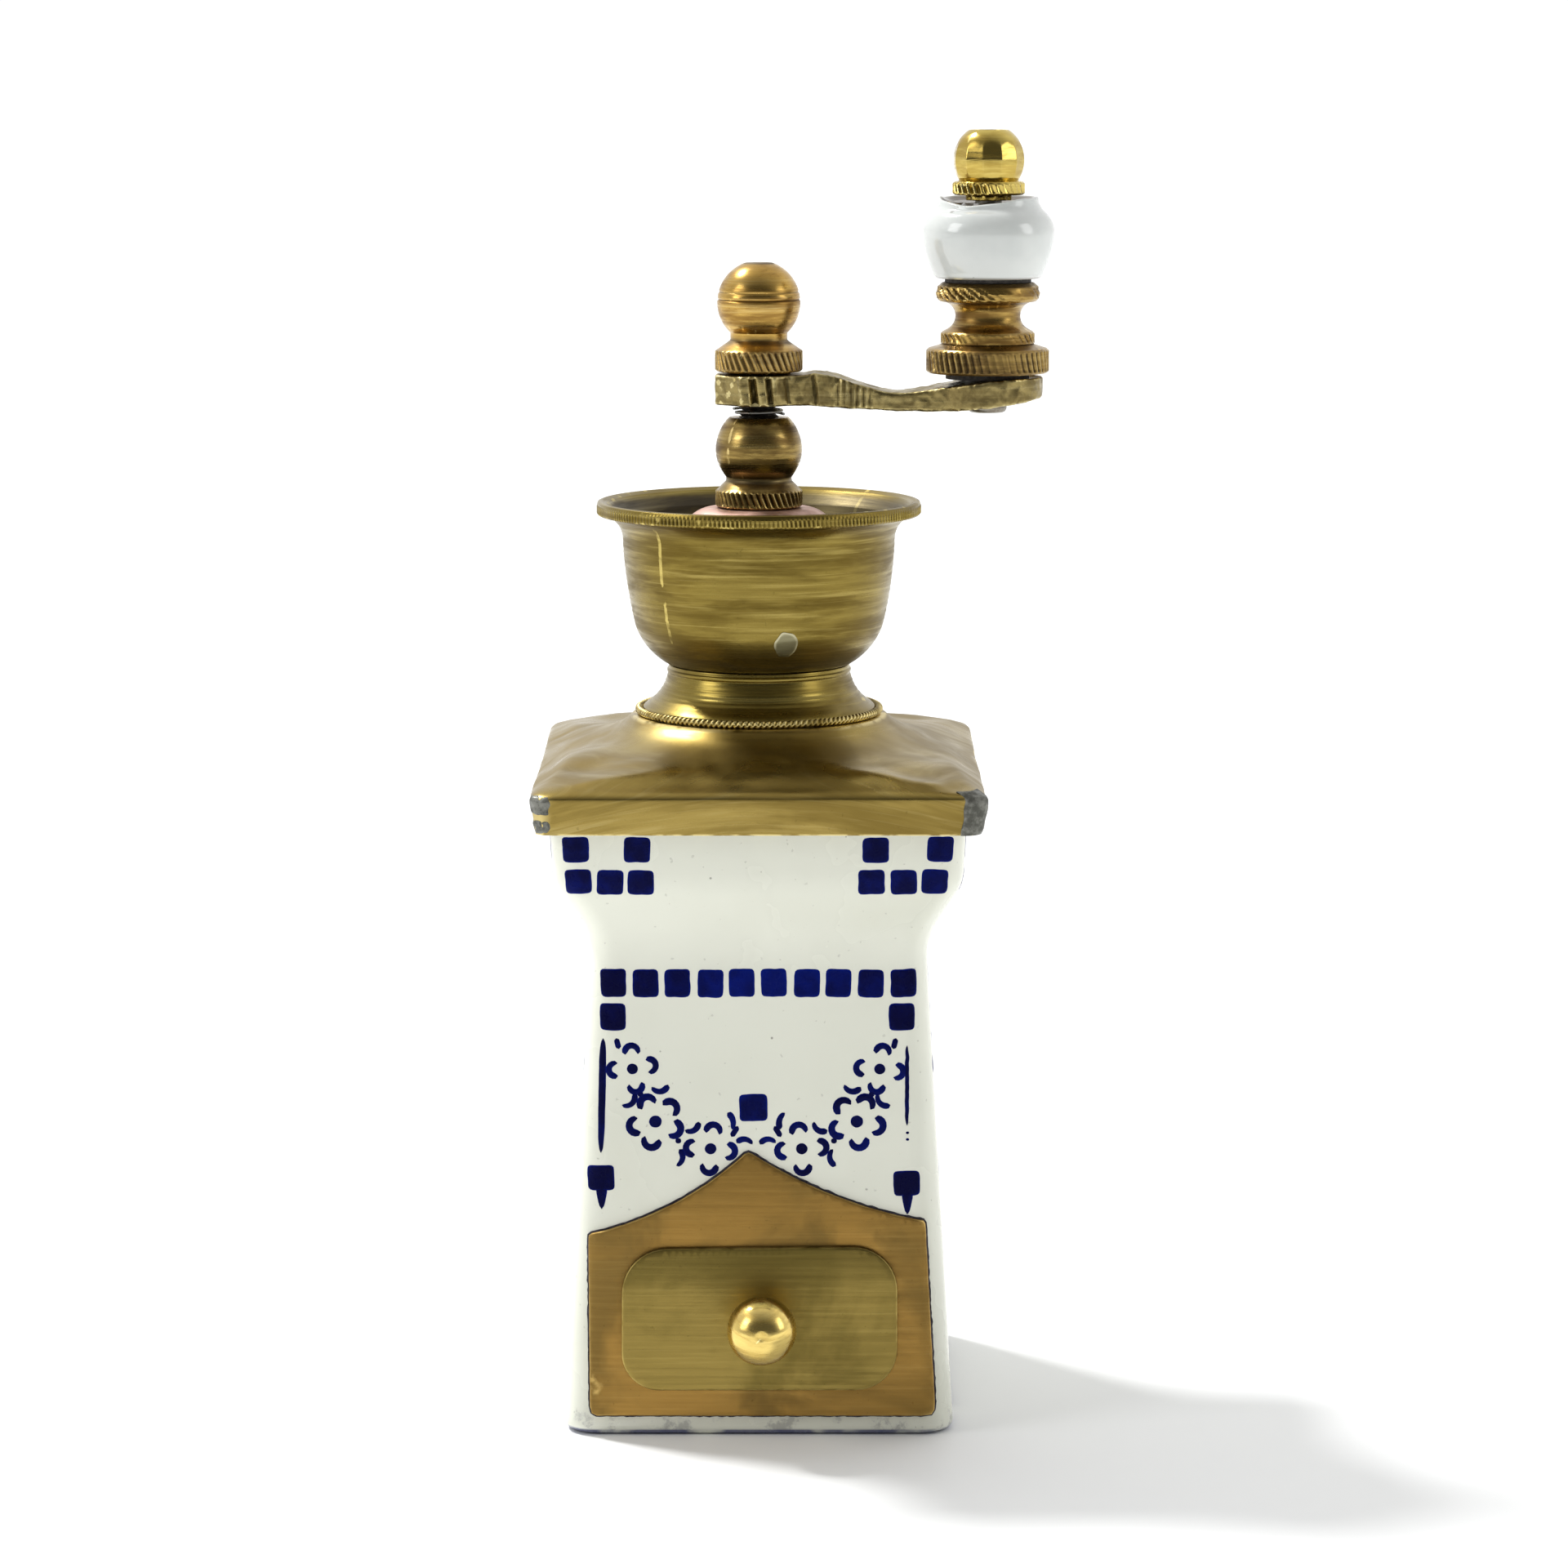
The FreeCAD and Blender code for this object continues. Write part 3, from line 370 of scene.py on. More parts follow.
def glaze_material():
    """Cream glaze: pits, faint stains, chipped grey edges low down and a thin blue foot line."""
    p = Paint("cream_glaze", Coat_Weight=0.55, Coat_Roughness=0.07)
    z = p.axis("Z")
    base = p.mix(p.level(p.noise(40, 3), 0.35, 0.7), (0.80, 0.81, 0.70), (0.765, 0.775, 0.665))
    base = p.mix(p.level(p.noise(60, 3, 0.6), 0.55, 0.85, 0, 0.22), base, (0.74, 0.72, 0.56))
    speck = p.level(p.cells(330), 0.085, 0.05)
    speck = p.math("MULTIPLY", speck, p.level(p.noise(180, 1), 0.55, 0.62))
    base = p.mix(p.math("MULTIPLY", speck, 0.75), base, (0.20, 0.19, 0.16))
    pits = p.level(p.noise(1300, 1), 0.74, 0.79)
    base = p.mix(p.math("MULTIPLY", pits, 0.35), base, (0.42, 0.41, 0.36))
    foot = p.math("MULTIPLY", p.level(z, 0.0062, 0.0012), p.level(p.noise(260, 4, 0.7), 0.47, 0.62))
    worn = p.math("MAXIMUM", foot,
                  p.math("MULTIPLY", p.edges(0.53, 0.6), p.level(p.noise(500, 4), 0.5, 0.62)))
    base = p.mix(p.math("MULTIPLY", worn, 0.55), base, (0.22, 0.22, 0.22))
    line = p.math("MULTIPLY", p.level(z, 0.0011, 0.0007), p.level(p.noise(150, 2), 0.3, 0.5))
    base = p.mix(p.math("MULTIPLY", line, 0.85), base, (0.02, 0.03, 0.16))
    roughness = p.math("ADD", p.level(p.noise(60, 3), 0.3, 0.7, 0.2, 0.3), p.math("MULTIPLY", worn, 0.3))
    wave = p.bump(p.noise(70, 2), 0.12, 0.5)
    normal = p.bump(pits, -0.05, 0.7, p.bump(speck, -0.06, 0.8, wave))
    return p.done(base, roughness, normal)


def cobalt_material():
    """Cobalt painting: each stroke has its own tone, thin and bright or thick and nearly black."""
    p = Paint("cobalt_paint", Specular_IOR_Level=0.05)
    tone = p.tone()
    wash = p.level(p.noise(330, 3, 0.5), 0.3, 0.72, -0.16, 0.16)
    share = p.math("ADD", tone, wash)
    colour = p.mix(p.level(share, 0.0, 1.0), (0.0006, 0.0009, 0.030), (0.0008, 0.008, 0.16))
    return p.done(colour, p.level(p.noise(800, 2), 0.3, 0.7, 0.22, 0.38), p.bump(p.noise(900, 3), 0.01, 0.4))


def porcelain_material():
    p = Paint("grip_porcelain", Coat_Weight=0.7, Coat_Roughness=0.05)
    base = p.mix(p.level(p.noise(130, 3), 0.35, 0.7), (0.66, 0.68, 0.655), (0.60, 0.625, 0.605))
    chips = p.math("MULTIPLY", p.edges(0.53, 0.58), p.level(p.noise(900, 4), 0.5, 0.6))
    base = p.mix(p.math("MULTIPLY", chips, 0.7), base, (0.2, 0.18, 0.15))
    # Painted shade: dark brown where the mesh's tone says, inside the top lip and at the foot.
    tone = p.tone()
    base = p.mix(tone, base, (0.10, 0.075, 0.045))
    return p.done(base, p.level(p.noise(200, 3), 0.3, 0.7, 0.14, 0.24), p.bump(p.noise(160, 2), 0.1, 0.5))


def solder_material():
    p = Paint("grey_solder", Metallic=0.6)
    patch = p.level(p.noise(700, 4, 0.65), 0.35, 0.65)
    base = p.mix(patch, (0.09, 0.09, 0.075), (0.19, 0.19, 0.165))
    base = p.mix(p.level(p.noise(1700, 3), 0.6, 0.75, 0, 0.6), base, (0.06, 0.055, 0.045))
    return p.done(base, p.level(patch, 0, 1, 0.62, 0.42), p.bump(p.noise(900, 4, 0.6), 0.12, 0.9))


def copper_material():
    p = Paint("pink_copper", Metallic=0.85)
    base = p.mix(p.level(p.noise(350, 4), 0.35, 0.7), (0.62, 0.40, 0.33), (0.44, 0.27, 0.21))
    base = p.mix(p.level(p.noise(900, 3), 0.58, 0.75, 0, 0.6), base, (0.75, 0.62, 0.55))
    ring = p.noise(1.0, 3, 0.6, at=p.around())
    return p.done(base, p.level(p.noise(300, 3), 0.3, 0.7, 0.4, 0.6), p.bump(ring, 0.02, 0.6))


def steel(name, main, rust, rough=0.42, x=0.0):
    """Dark oiled steel with a rusty bloom in patches."""
    p = Paint(name, Metallic=0.9)
    base = p.mix(p.level(p.noise(500, 4, 0.65), 0.5, 0.72, 0, 0.6), main, rust)
    streak = p.noise(1.0, 3, 0.6, at=p.around(x))
    base = p.mix(p.level(streak, 0.55, 0.75, 0, 0.4), base, tuple(min(1, 1.8 * c) for c in main))
    return p.done(base, p.level(p.noise(420, 3), 0.3, 0.7, rough - 0.08, rough + 0.14),
                  p.bump(streak, 0.015, 0.6))


def tinplate_material():
    """Tinned sheet: large flat crystals and fine rolling lines."""
    p = Paint("tinned_sheet", Metallic=0.95)
    crystal = p.node("ShaderNodeTexVoronoi", {"Vector": p.at, "Scale": 160.0}).outputs["Color"]
    base = p.mix(p.node("ShaderNodeSeparateColor", {0: crystal}).outputs[0], (0.46, 0.47, 0.46),
                 (0.62, 0.62, 0.60))
    base = p.mix(p.level(p.noise(260, 4, 0.7), 0.56, 0.75, 0, 0.7), base, (0.22, 0.15, 0.09))
    lines = p.noise(1.0, 2, 0.5, stretch=(2500, 60, 60))
    return p.done(base, p.level(p.noise(200, 3), 0.3, 0.7, 0.28, 0.45), p.bump(lines, 0.01, 0.6))


def rough_material(name, light, dark, scale, depth, roughness, metallic=0.0):
    """Cast, sandy or fibrous stuff."""
    p = Paint(name, Metallic=metallic)
    grain = p.noise(scale, 5, 0.65)
    base = p.mix(p.level(grain, 0.35, 0.65), dark, light)
    base = p.mix(p.level(p.noise(scale * 0.2, 3), 0.5, 0.7, 0, 0.5), base, dark)
    return p.done(base, p.level(grain, 0.3, 0.7, roughness, roughness - 0.15), p.bump(grain, depth, 0.9))


AGED = brass("aged_brass", (0.225, 0.165, 0.038), (0.135, 0.092, 0.018), (0.42, 0.33, 0.10), rough=0.30,
             patina_and_shade=True)
CAP = brass("cap_brass", (0.31, 0.225, 0.062), (0.20, 0.138, 0.033), (0.52, 0.42, 0.18), rough=0.27, patch=60,
            lines=0.3, crease_grime_and_shade=0.25, line_scale=1900.0)
PLATE = brass("plate_brass", (0.38, 0.22, 0.055), (0.27, 0.17, 0.048), (0.52, 0.36, 0.12), rough=0.42,
              patch=60, sheet=True, lines=0.14, crease_grime_and_shade=0.5, darker_upward=(26, 44, 0.5))
FRONT = brass("drawer_brass", (0.31, 0.225, 0.06), (0.235, 0.175, 0.045), (0.48, 0.37, 0.12), rough=0.38,
              patch=55, sheet=True, lines=0.16, crease_grime_and_shade=0.5, darker_upward=(20, 29, 0.6))
RIVET = brass("rivet_brass", (0.45, 0.26, 0.075), (0.33, 0.19, 0.05), (0.6, 0.42, 0.17), rough=0.45,
              sheet=True, lines=0.2)
NUT = brass("nut_brass", (0.31, 0.215, 0.065), (0.13, 0.08, 0.025), (0.58, 0.44, 0.18), rough=0.27, patch=260,
            patina_and_shade=True)
CRANK_NUT = brass("crank_nut_brass", (0.48, 0.30, 0.075), (0.27, 0.15, 0.035), (0.68, 0.52, 0.22), rough=0.25,
                  patch=260, patina_and_shade=True)
ARM = brass("cast_brass", (0.28, 0.218, 0.085), (0.15, 0.112, 0.042), (0.5, 0.42, 0.2), rough=0.32, patch=320,
            sheet=True, lines=0.25, pitted=0.45)
SPOOL = brass("spool_brass", (0.36, 0.235, 0.065), (0.16, 0.09, 0.024), (0.62, 0.46, 0.18), rough=0.26,
              x=34.5, patch=300, crease_grime_and_shade=0.85, patina_and_shade=True)
FINIAL = brass("finial_brass", (0.55, 0.42, 0.11), (0.40, 0.28, 0.06), (0.8, 0.66, 0.26), rough=0.11,
               x=34.5, patch=260, lines=0.15, pitted=0.1)
KNOB = brass("knob_brass", (0.82, 0.62, 0.20), (0.62, 0.44, 0.12), (0.85, 0.7, 0.34), rough=0.18, patch=300,
             lines=0.12, pitted=0.1)
GLAZE = glaze_material()
COBALT = cobalt_material()
PORCELAIN = porcelain_material()
SOLDER = solder_material()
SMEAR = brass("greyed_brass", (0.235, 0.215, 0.125), (0.19, 0.17, 0.09), (0.40, 0.37, 0.24), rough=0.4,
              lines=0.3)
COPPER = copper_material()
DARK_STEEL = steel("dark_steel", (0.055, 0.05, 0.045), (0.10, 0.05, 0.025))
SPRING_STEEL = steel("spring_steel", (0.22, 0.22, 0.21), (0.12, 0.07, 0.04), 0.3)
PIN_STEEL = steel("pin_steel", (0.25, 0.23, 0.19), (0.13, 0.08, 0.04), 0.36, 34.5)
TIN = tinplate_material()
IRON = rough_material("cast_iron", (0.16, 0.155, 0.15), (0.07, 0.06, 0.055), 900, 0.08, 0.6, 0.85)
PLASTER = rough_material("plaster", (0.66, 0.63, 0.55), (0.42, 0.39, 0.32), 700, 0.15, 0.95)
# Near-black fibre for the real washers, dark enough to stand also for the painted shade in the gaps at the
# handle.
FIBRE_AND_SHADE = rough_material("fibre_washer_and_gap_shade", (0.05, 0.045, 0.04), (0.02, 0.017, 0.015), 1500, 0.05, 0.85)
PUTTY = rough_material("dark_putty", (0.05, 0.045, 0.06), (0.015, 0.012, 0.02), 1200, 0.05, 0.9)


# --- ceramic body -----------------------------------------------------------------------

BODY_TOP = high_of("ceramic_body")
BASE_HALF = 29.35
WAIST_HALF = 25.0
WAIST_HIGH = 74.2
SIDE_LINE = soft([(BASE_HALF, 0), (WAIST_HALF, WAIST_HIGH, 12), (30.3, 83.6, 8), (30.9, 97.0)], step=0.8)
CORNER = 4.4
WALL = 4.7
FLOOR = 8.6
FOOT_ROUND = 1.6
MOUTH_HALF = 18.9
MOUTH_TOP = 27.2
TAPER = math.atan((BASE_HALF - WAIST_HALF) / WAIST_HIGH)
# steps across one side of a ring, and the share of them that spans the drawer's mouth
FLATS = 30
CORE_SHARE = 0.8


def half_at(z):
    """Half width of the body at a height."""
    return float(np.interp(z, SIDE_LINE[:, 1], SIDE_LINE[:, 0]))


def unevenness(x, y, z):
    """How far the glazed skin stands off its true shape."""
    spot = Vector((x, y, z))
    return 0.09 * noise.noise(spot * 0.055) + 0.03 * noise.noise(spot * 0.21 + Vector((9, 0, 0)))


def quarter_turn(x, y, side):
    """Turns a point of the front (side 0) onto another of the four sides."""
    for _ in range(side):
        x, y = -y, x
    return x, y


def on_skin(x, z, lift=0.0, side=0):
    """Point of one side's skin, x across and z up, and lift outwards."""
    half = half_at(z)
    over = max(abs(x) - (half - CORNER), 0.0)
    depth = math.sqrt(max(CORNER ** 2 - over ** 2, 0.01))
    y = -(half - CORNER + depth)
    px, py = quarter_turn(x, y, side)
    lift += unevenness(px, py, z)
    out = (math.copysign(over, x) / CORNER, -depth / CORNER)
    px, py = quarter_turn(x + out[0] * lift, y + out[1] * lift, side)
    return px, py, z


def square_ring(half, corner, z, core=MOUTH_HALF, flats=FLATS, turns=14):
    """Rounded square: the flats' inner part keeps its places in x at every height."""
    flat = half - corner
    core = min(core, 0.86 * flat)
    share = np.linspace(-1, 1, flats + 1)
    beyond = (abs(share) - CORE_SHARE) / (1 - CORE_SHARE)
    places = np.where(abs(share) <= CORE_SHARE, share / CORE_SHARE * core,
                      np.sign(share) * (core + beyond * (flat - core)))
    side = [(x, -half) for x in places]
    side += [(flat + corner * math.sin(a), -flat - corner * math.cos(a))
             for a in np.linspace(0, math.pi / 2, turns + 1)[1:-1]]
    ring = []
    for k in range(4):
        ring += [(*quarter_turn(x, y, k), z) for x, y in side]
    return ring


def glazed_body():
    """Body with its hollow and the drawer's mouth; the skin is slightly uneven."""
    mouth_rows = list(np.linspace(FLOOR, MOUTH_TOP, 17))
    upper_rows = list(np.linspace(MOUTH_TOP, BODY_TOP, 88))[1:]
    rings = [square_ring(max(h, 0.01), min(CORNER, 0.6 * h + 0.004), 0.0) for h in (0.01, 10.0, 20.0)]
    for angle in np.linspace(0, math.pi / 2, 7):
        z = FOOT_ROUND * (1 - math.cos(angle))
        rings.append(square_ring(half_at(z) - FOOT_ROUND * (1 - math.sin(angle)), CORNER, z))
    rings += [square_ring(half_at(z), CORNER, z) for z in np.linspace(FOOT_ROUND, FLOOR, 8)[1:-1]]
    outer_low = len(rings)
    for z in mouth_rows + upper_rows[:-1]:
        rings.append(square_ring(half_at(z), CORNER, z))
    skin_end = len(rings)
    inner_corner = CORNER - 1.5
    top_half = half_at(BODY_TOP)
    rings.append(square_ring(top_half - 0.3, CORNER, BODY_TOP))
    rings.append(square_ring(top_half - WALL + 0.3, inner_corner, BODY_TOP))
    for z in upper_rows[-2::-1] + mouth_rows[::-1]:
        rings.append(square_ring(half_at(z) - WALL, inner_corner, z))
    inner_low = len(rings) - 1
    rings += [square_ring(h, 2.0, FLOOR) for h in (16.0, 8.0)] + [square_ring(0.01, 0.004, FLOOR)]
    columns = len(rings[0])
    points = [list(p) for ring in rings for p in ring]
    for i in range(3, skin_end):
        for k in range(columns):
            x, y, z = points[i * columns + k]
            reach = math.hypot(x, y)
            grow = 1 + unevenness(x, y, z) * min(1.0, z / 4) / reach
            points[i * columns + k] = [x * grow, y * grow, z]
    span = round(CORE_SHARE * FLATS / 2)
    first, last = FLATS // 2 - span, FLATS // 2 + span
    count = len(mouth_rows) - 1
    faces = []
    for i in range(len(rings) - 1):
        in_mouth = outer_low <= i < outer_low + count or inner_low - count <= i < inner_low
        for k in range(columns):
            if not (in_mouth and first <= k < last):
                n = (k + 1) % columns
                faces.append((i * columns + k, i * columns + n, (i + 1) * columns + n, (i + 1) * columns + k))
    for k in range(first, last):
        for outer, inner in ((outer_low, inner_low), (outer_low + count, inner_low - count)):
            faces.append((outer * columns + k, outer * columns + k + 1,
                          inner * columns + k + 1, inner * columns + k))
    for i in range(count):
        for k in (first, last):
            outer, inner = (outer_low + i) * columns + k, (inner_low - i) * columns + k
            faces.append((outer, outer + columns, inner - columns, inner))
    return piece("glazed_body", points, faces, "mill_body", GLAZE, ("ceramic_body",))


# --- painting ---------------------------------------------------------------------------

class Painting:
    """Strokes and blots of paint, gathered into one mesh."""

    def __init__(self):
        self.points, self.faces, self.tones = [], [], []

    def add(self, rows, faces_of, tone):
        first = len(self.points)
        self.points += rows
        self.faces += [tuple(first + i for i in face) for face in faces_of]
        self.tones += tone if isinstance(tone, list) else [tone] * len(rows)

    def blot(self, x, z, wide, high, tone, side=0, turn=0.0, roundness=0.28):
        """Filled square with soft corners and a hand-drawn edge."""
        count = 44
        edge = []
        for k in range(count):
            a = 2 * math.pi * k / count
            c, s = math.cos(a), math.sin(a)
            reach = (abs(c) ** (2 / roundness) + abs(s) ** (2 / roundness)) ** (-roundness / 2)
            wave = 1 + 0.045 * noise.noise(Vector((x + 1.6 * c, z + 1.6 * s, 5.0 * side + 3)))
            edge.append((c * reach * wave * wide / 2, s * reach * wave * high / 2))
        rows, tones = [], []
        for scale, lift, paler in ((0.02, 0.05, 0), (0.4, 0.05, 0), (0.75, 0.05, 0), (0.88, 0.05, 0.05),
                                   (0.96, 0.04, 0.5), (1.0, 0.01, 0.8), (1.0, -0.12, 0.8), (0.02, -0.12, 0)):
            tones += [tone + paler] * count
            for ex, ez in edge:
                px = x + scale * (ex * math.cos(turn) - ez * math.sin(turn))
                pz = z + scale * (ex * math.sin(turn) + ez * math.cos(turn))
                rows.append(on_skin(px, pz, lift, side))
        self.add(rows, capped(8, count), tones)

    def stroke(self, line, width, tone, side=0, start=1.0, end=1.0):
        """Brush stroke along a line of (x, z), rounded at both ends."""
        line = np.array(line, float)
        count = len(line)
        along = np.gradient(line, axis=0)
        along /= np.linalg.norm(along, axis=1)[:, None]
        share = np.linspace(-1, 1, count)
        wide = width / 2 * np.sqrt(np.clip(1 - abs(share) ** 5, 0.01, 1))
        wide = wide * np.interp(share, (-1, 1), (start, end))
        section = ((-1, -0.12), (-1, 0.01), (-0.72, 0.045), (0, 0.055), (0.72, 0.045), (1, 0.01), (1, -0.12))
        rows = []
        for i in range(count):
            for across, lift in section:
                px = line[i][0] - along[i][1] * across * wide[i]
                pz = line[i][1] + along[i][0] * across * wide[i]
                rows.append(on_skin(px, pz, lift, side))
        self.add(rows, capped(count, len(section)),
                 [tone + paler for _ in range(count) for paler in (0.6, 0.6, 0.1, 0, 0.1, 0.6, 0.6)])


def hook(x, z, radius, turn, sweep, count=12):
    """Line of an arc about (x, z) whose middle points in direction turn."""
    angles = np.linspace(turn - sweep / 2, turn + sweep / 2, count)
    return [(x + radius * math.cos(a), z + radius * math.sin(a)) for a in angles]


def flower(art, x, z, size, petals, turn, side):
    """A dot ringed by petals, each an open arc that faces the dot."""
    art.blot(x, z, 1.8 * size, 1.75 * size, 0.2, side, roundness=1.0)
    for k in range(petals):
        a = turn + 2 * math.pi * k / petals + 0.08 * random.uniform(-1, 1)
        cx, cz = x + 2.75 * size * math.cos(a), z + 2.75 * size * math.sin(a)
        tone = 0.2 + 0.25 * random.random()
        art.stroke(hook(cx, cz, 1.08 * size, a, math.radians(218)), 1.12 * size, tone, side, 0.8, 1.05)


def garland(art, side):
    """Half a hanging garland on the right, and its mirror image, drawn a little differently."""
    middle = -0.35
    for mirror in (-1, 1):
        # (x, z, size, petals, first petal's direction) of the flowers
        for x, z, size, petals, turn in ((18.4, 55.5, 0.92, 4, -0.12), (15.0, 47.6, 1.04, 5, -0.17),
                                         (6.8, 43.5, 0.96, 4, 0.09)):
            start = turn if mirror > 0 else math.pi - turn
            flower(art, middle + mirror * x, z, size, petals, start, side)
        # (x, z, radius, direction in degrees, sweep in degrees, width) of the leaves between
        for x, z, radius, turn, sweep, width in ((19.4, 51.3, 1.35, 225, 140, 0.95),
                                                 (14.4, 53.4, 1.3, 262, 140, 1.0),
                                                 (9.9, 47.4, 1.3, 238, 130, 1.0),
                                                 (12.4, 42.3, 1.45, 190, 120, 0.95),
                                                 (5.3, 47.3, 1.9, 165, 85, 1.0),
                                                 (1.8, 43.6, 1.35, 95, 120, 0.95)):
            angle = math.radians(turn if mirror > 0 else 180 - turn)
            line = hook(middle + mirror * x, z, radius, angle, math.radians(sweep))
            art.stroke(line, width, 0.2 + 0.25 * random.random(), side, 0.7, 1.1)
        for x, z in ((17.2, 51.7), (11.6, 44.7)):
            art.blot(middle + mirror * x, z, 0.85, 0.8, 0.25, side, roundness=0.8)
        for x, z, lean in ((20.6, 59.3, 0.25), (3.2, 46.1, -0.62)):
            line = [(middle + mirror * (x + lean * t), z + t) for t in np.linspace(-0.8, 0.8, 8)]
            art.stroke(line, 0.85, 0.25, side)


def painted_side(art, side):
    """Rows of squares, upright lines, tailed squares and the garland."""
    first, pitch = -21.55, 4.79
    spread = 1.0 if side == 0 else 0.87
    for k in range(10):
        x = first + pitch * k + 0.12 * random.uniform(-1, 1)
        middle = 1 - abs(k - 4.8) / 5
        art.blot(spread * x, 68.35 + 0.08 * random.uniform(-1, 1), 3.85, 4.2, 0.1 + 0.6 * middle, side,
                 0.03 * random.uniform(-1, 1))
    for x in (-21.65, 21.3):
        art.blot(spread * x, 63.3, 3.85, 4.1, 0.15, side, 0.02)
    for row, places in ((89.3, (-26.75, -17.75, 17.25, 26.75)),
                        (84.45, (-26.4, -21.75, -17.25, 16.65, 21.4, 25.95))):
        for x in places:
            lean = -0.05 if abs(x) > 24 else 0.02
            tone = 0.22 + 0.12 * random.random()
            across = (1.0 if side == 0 else 0.92) * x
            art.blot(across, row + 0.1 * random.uniform(-1, 1), 3.9, 3.8, tone, side,
                     lean * (1 if x > 0 else -1))
    heights = np.linspace(60.0, 42.9, 40)
    art.stroke([(spread * (-23.1 - 0.022 * (60 - z)) + 0.06 * noise.noise(Vector((z * 0.5, 1, side))), z)
                for z in heights], 1.15, 0.15, side, 1.0, 0.85)
    heights = np.linspace(59.0, 47.0, 34)
    art.stroke([(spread * 22.1 + 0.12 * noise.noise(Vector((z * 0.9, 4, side))), z) for z in heights], 0.62,
               0.2, side)
    for z in (45.9, 44.9):
        art.blot(spread * 22.2, z, 0.5, 0.4, 0.3, side, roundness=1.0)
    for x, z in ((-23.5, 39.1), (22.1, 38.3)):
        art.blot(spread * x, z, 4.0, 3.8, 0.1, side, 0.04)
        art.stroke([(spread * x + 0.1, z - 1.2 - 0.5 * k) for k in range(8)], 1.7, 0.1, side, 1.2, 0.35)
    art.blot(-0.75, 49.7, 4.2, 4.1, 0.4, side, 0.02)
    garland(art, side)


def painting():
    """The same painting on all four sides."""
    art = Painting()
    for side in range(4):
        painted_side(art, side)
    piece("cobalt_painting", art.points, art.faces, "mill_body", COBALT, crease=60,
          tone=art.tones)


# --- sheet pieces on the front ----------------------------------------------------------

def on_front(x, y, z):
    """Leans a point made against the plane y = 0 onto the body's tapered front."""
    return x, y * math.cos(TAPER) + z * math.sin(TAPER) - BASE_HALF, z * math.cos(TAPER) - y * math.sin(TAPER)


def hugging(x, y, z):
    """As on_front, and bent back where the body's corners are rounded."""
    over = max(abs(x) - (half_at(z) - CORNER), 0.0)
    return on_front(x, y + CORNER - math.sqrt(max(CORNER ** 2 - over ** 2, 0.01)), z)


def offset(loop, distance):
    """Closed outline moved to its left, which is inwards for a loop that runs left-handed."""
    tangent = np.roll(loop, -1, 0) - np.roll(loop, 1, 0)
    tangent /= np.linalg.norm(tangent, axis=1)[:, None]
    return loop + distance * np.stack([-tangent[:, 1], tangent[:, 0]], 1)


def sheet_piece(name, loops, thick, bevel, place, body, material, replaces=(), grid=1.1, near=0.0,
                crown=None):
    """Sheet metal cut to closed outlines (the first one outside, the others holes), with
    rounded front edges. near is the back face's distance in front of y = 0."""
    points, faces = [], []
    fronts, backs = [], []
    for loop in loops:
        count = len(loop)
        rows = [(loop, 0.0), (loop, thick - bevel)]
        for angle in (30, 60, 90):
            a = math.radians(angle)
            rows.append((offset(loop, bevel * (1 - math.cos(a))), thick - bevel + bevel * math.sin(a)))
        first = len(points)
        for line, rise in rows:
            points += [(x, -near - rise, z) for x, z in line]
        faces += [tuple(first + i for i in face) for face in grid_faces(len(rows), count)]
        fronts.append(rows[-1][0])
        backs.append(loop)
    low, high = loops[0].min(0), loops[0].max(0)
    lines = np.arange(low[1], high[1], grid * 0.87)
    inner = [(x + (0.5 * grid if j % 2 else 0), z) for j, z in enumerate(lines)
             for x in np.arange(low[0], high[0], grid)]
    for edges_at, rise, fill in ((fronts, thick, inner), (backs, 0.0, [])):
        flat, edges = [], []
        for line in edges_at:
            first = len(flat)
            flat += [Vector((float(x), float(z))) for x, z in line]
            edges += [(first + i, first + (i + 1) % len(line)) for i in range(len(line))]
        flat += [Vector((float(x), float(z))) for x, z in fill]
        found = delaunay_2d_cdt(flat, edges, [], 4, 1e-7)
        first = len(points)
        points += [(p.x, -near - rise, p.y) for p in found[0]]
        faces += [tuple(first + i for i in face) for face in found[2]]
    if crown:
        points = [(x, y - crown(x, z) if y < -near - 0.5 * thick else y, z) for x, y, z in points]
    return piece(name, [place(*p) for p in points], faces, body, material, replaces)


def closed(line, step=0.5):
    """Cuts the straight runs of a closed line of points into steps."""
    out = []
    for before, after in zip(line, list(line[1:]) + [line[0]]):
        before, after = np.array(before, float), np.array(after, float)
        parts = max(1, round(np.linalg.norm(after - before) / step))
        out += [before + (after - before) * k / parts for k in range(parts)]
    return np.array(out)


def rounded_loop(corners):
    """Closed outline with rounded corners (x, z, radius), first point not repeated."""
    wrapped = [corners[-1]] + list(corners) + [corners[0]]
    middle = [tuple((np.array(wrapped[0][:2]) + np.array(wrapped[1][:2])) / 2)]
    line = soft(middle + list(corners) + middle, step=0.5)
    return line[:-1]


PLATE_THICK = 0.8
FRONT_NEAR = PLATE_THICK + 0.12
FRONT_THICK = 1.0


def plate_loop():
    """House shape with hollow flanks; the right shoulder is the higher one."""
    right = [(24.6, 32.75)] + arc((24.6, 32.75), (7.9, 38.05), (-0.9, 42.85), 16)
    left = [(-2.1, 42.85)] + arc((-2.1, 42.85), (-9.7, 37.1), (-24.9, 30.8), 16)
    low_right = [(24.3, 3.2), (25.9, 3.35), (26.35, 4.0), (26.4, 5.2), (24.95, 31.6), (24.9, 32.3)]
    low_left = [(-25.35, 30.4), (-25.4, 29.6), (-25.25, 4.6), (-25.0, 3.6), (-24.3, 3.2)]
    line = closed(low_right + right + [(-1.5, 43.1)] + left + low_left)
    return np.array([(x + 0.05 * noise.noise(Vector((x * 0.6, z * 0.6, 0))),
                      z + 0.05 * noise.noise(Vector((x * 0.6, z * 0.6, 7)))) for x, z in line])


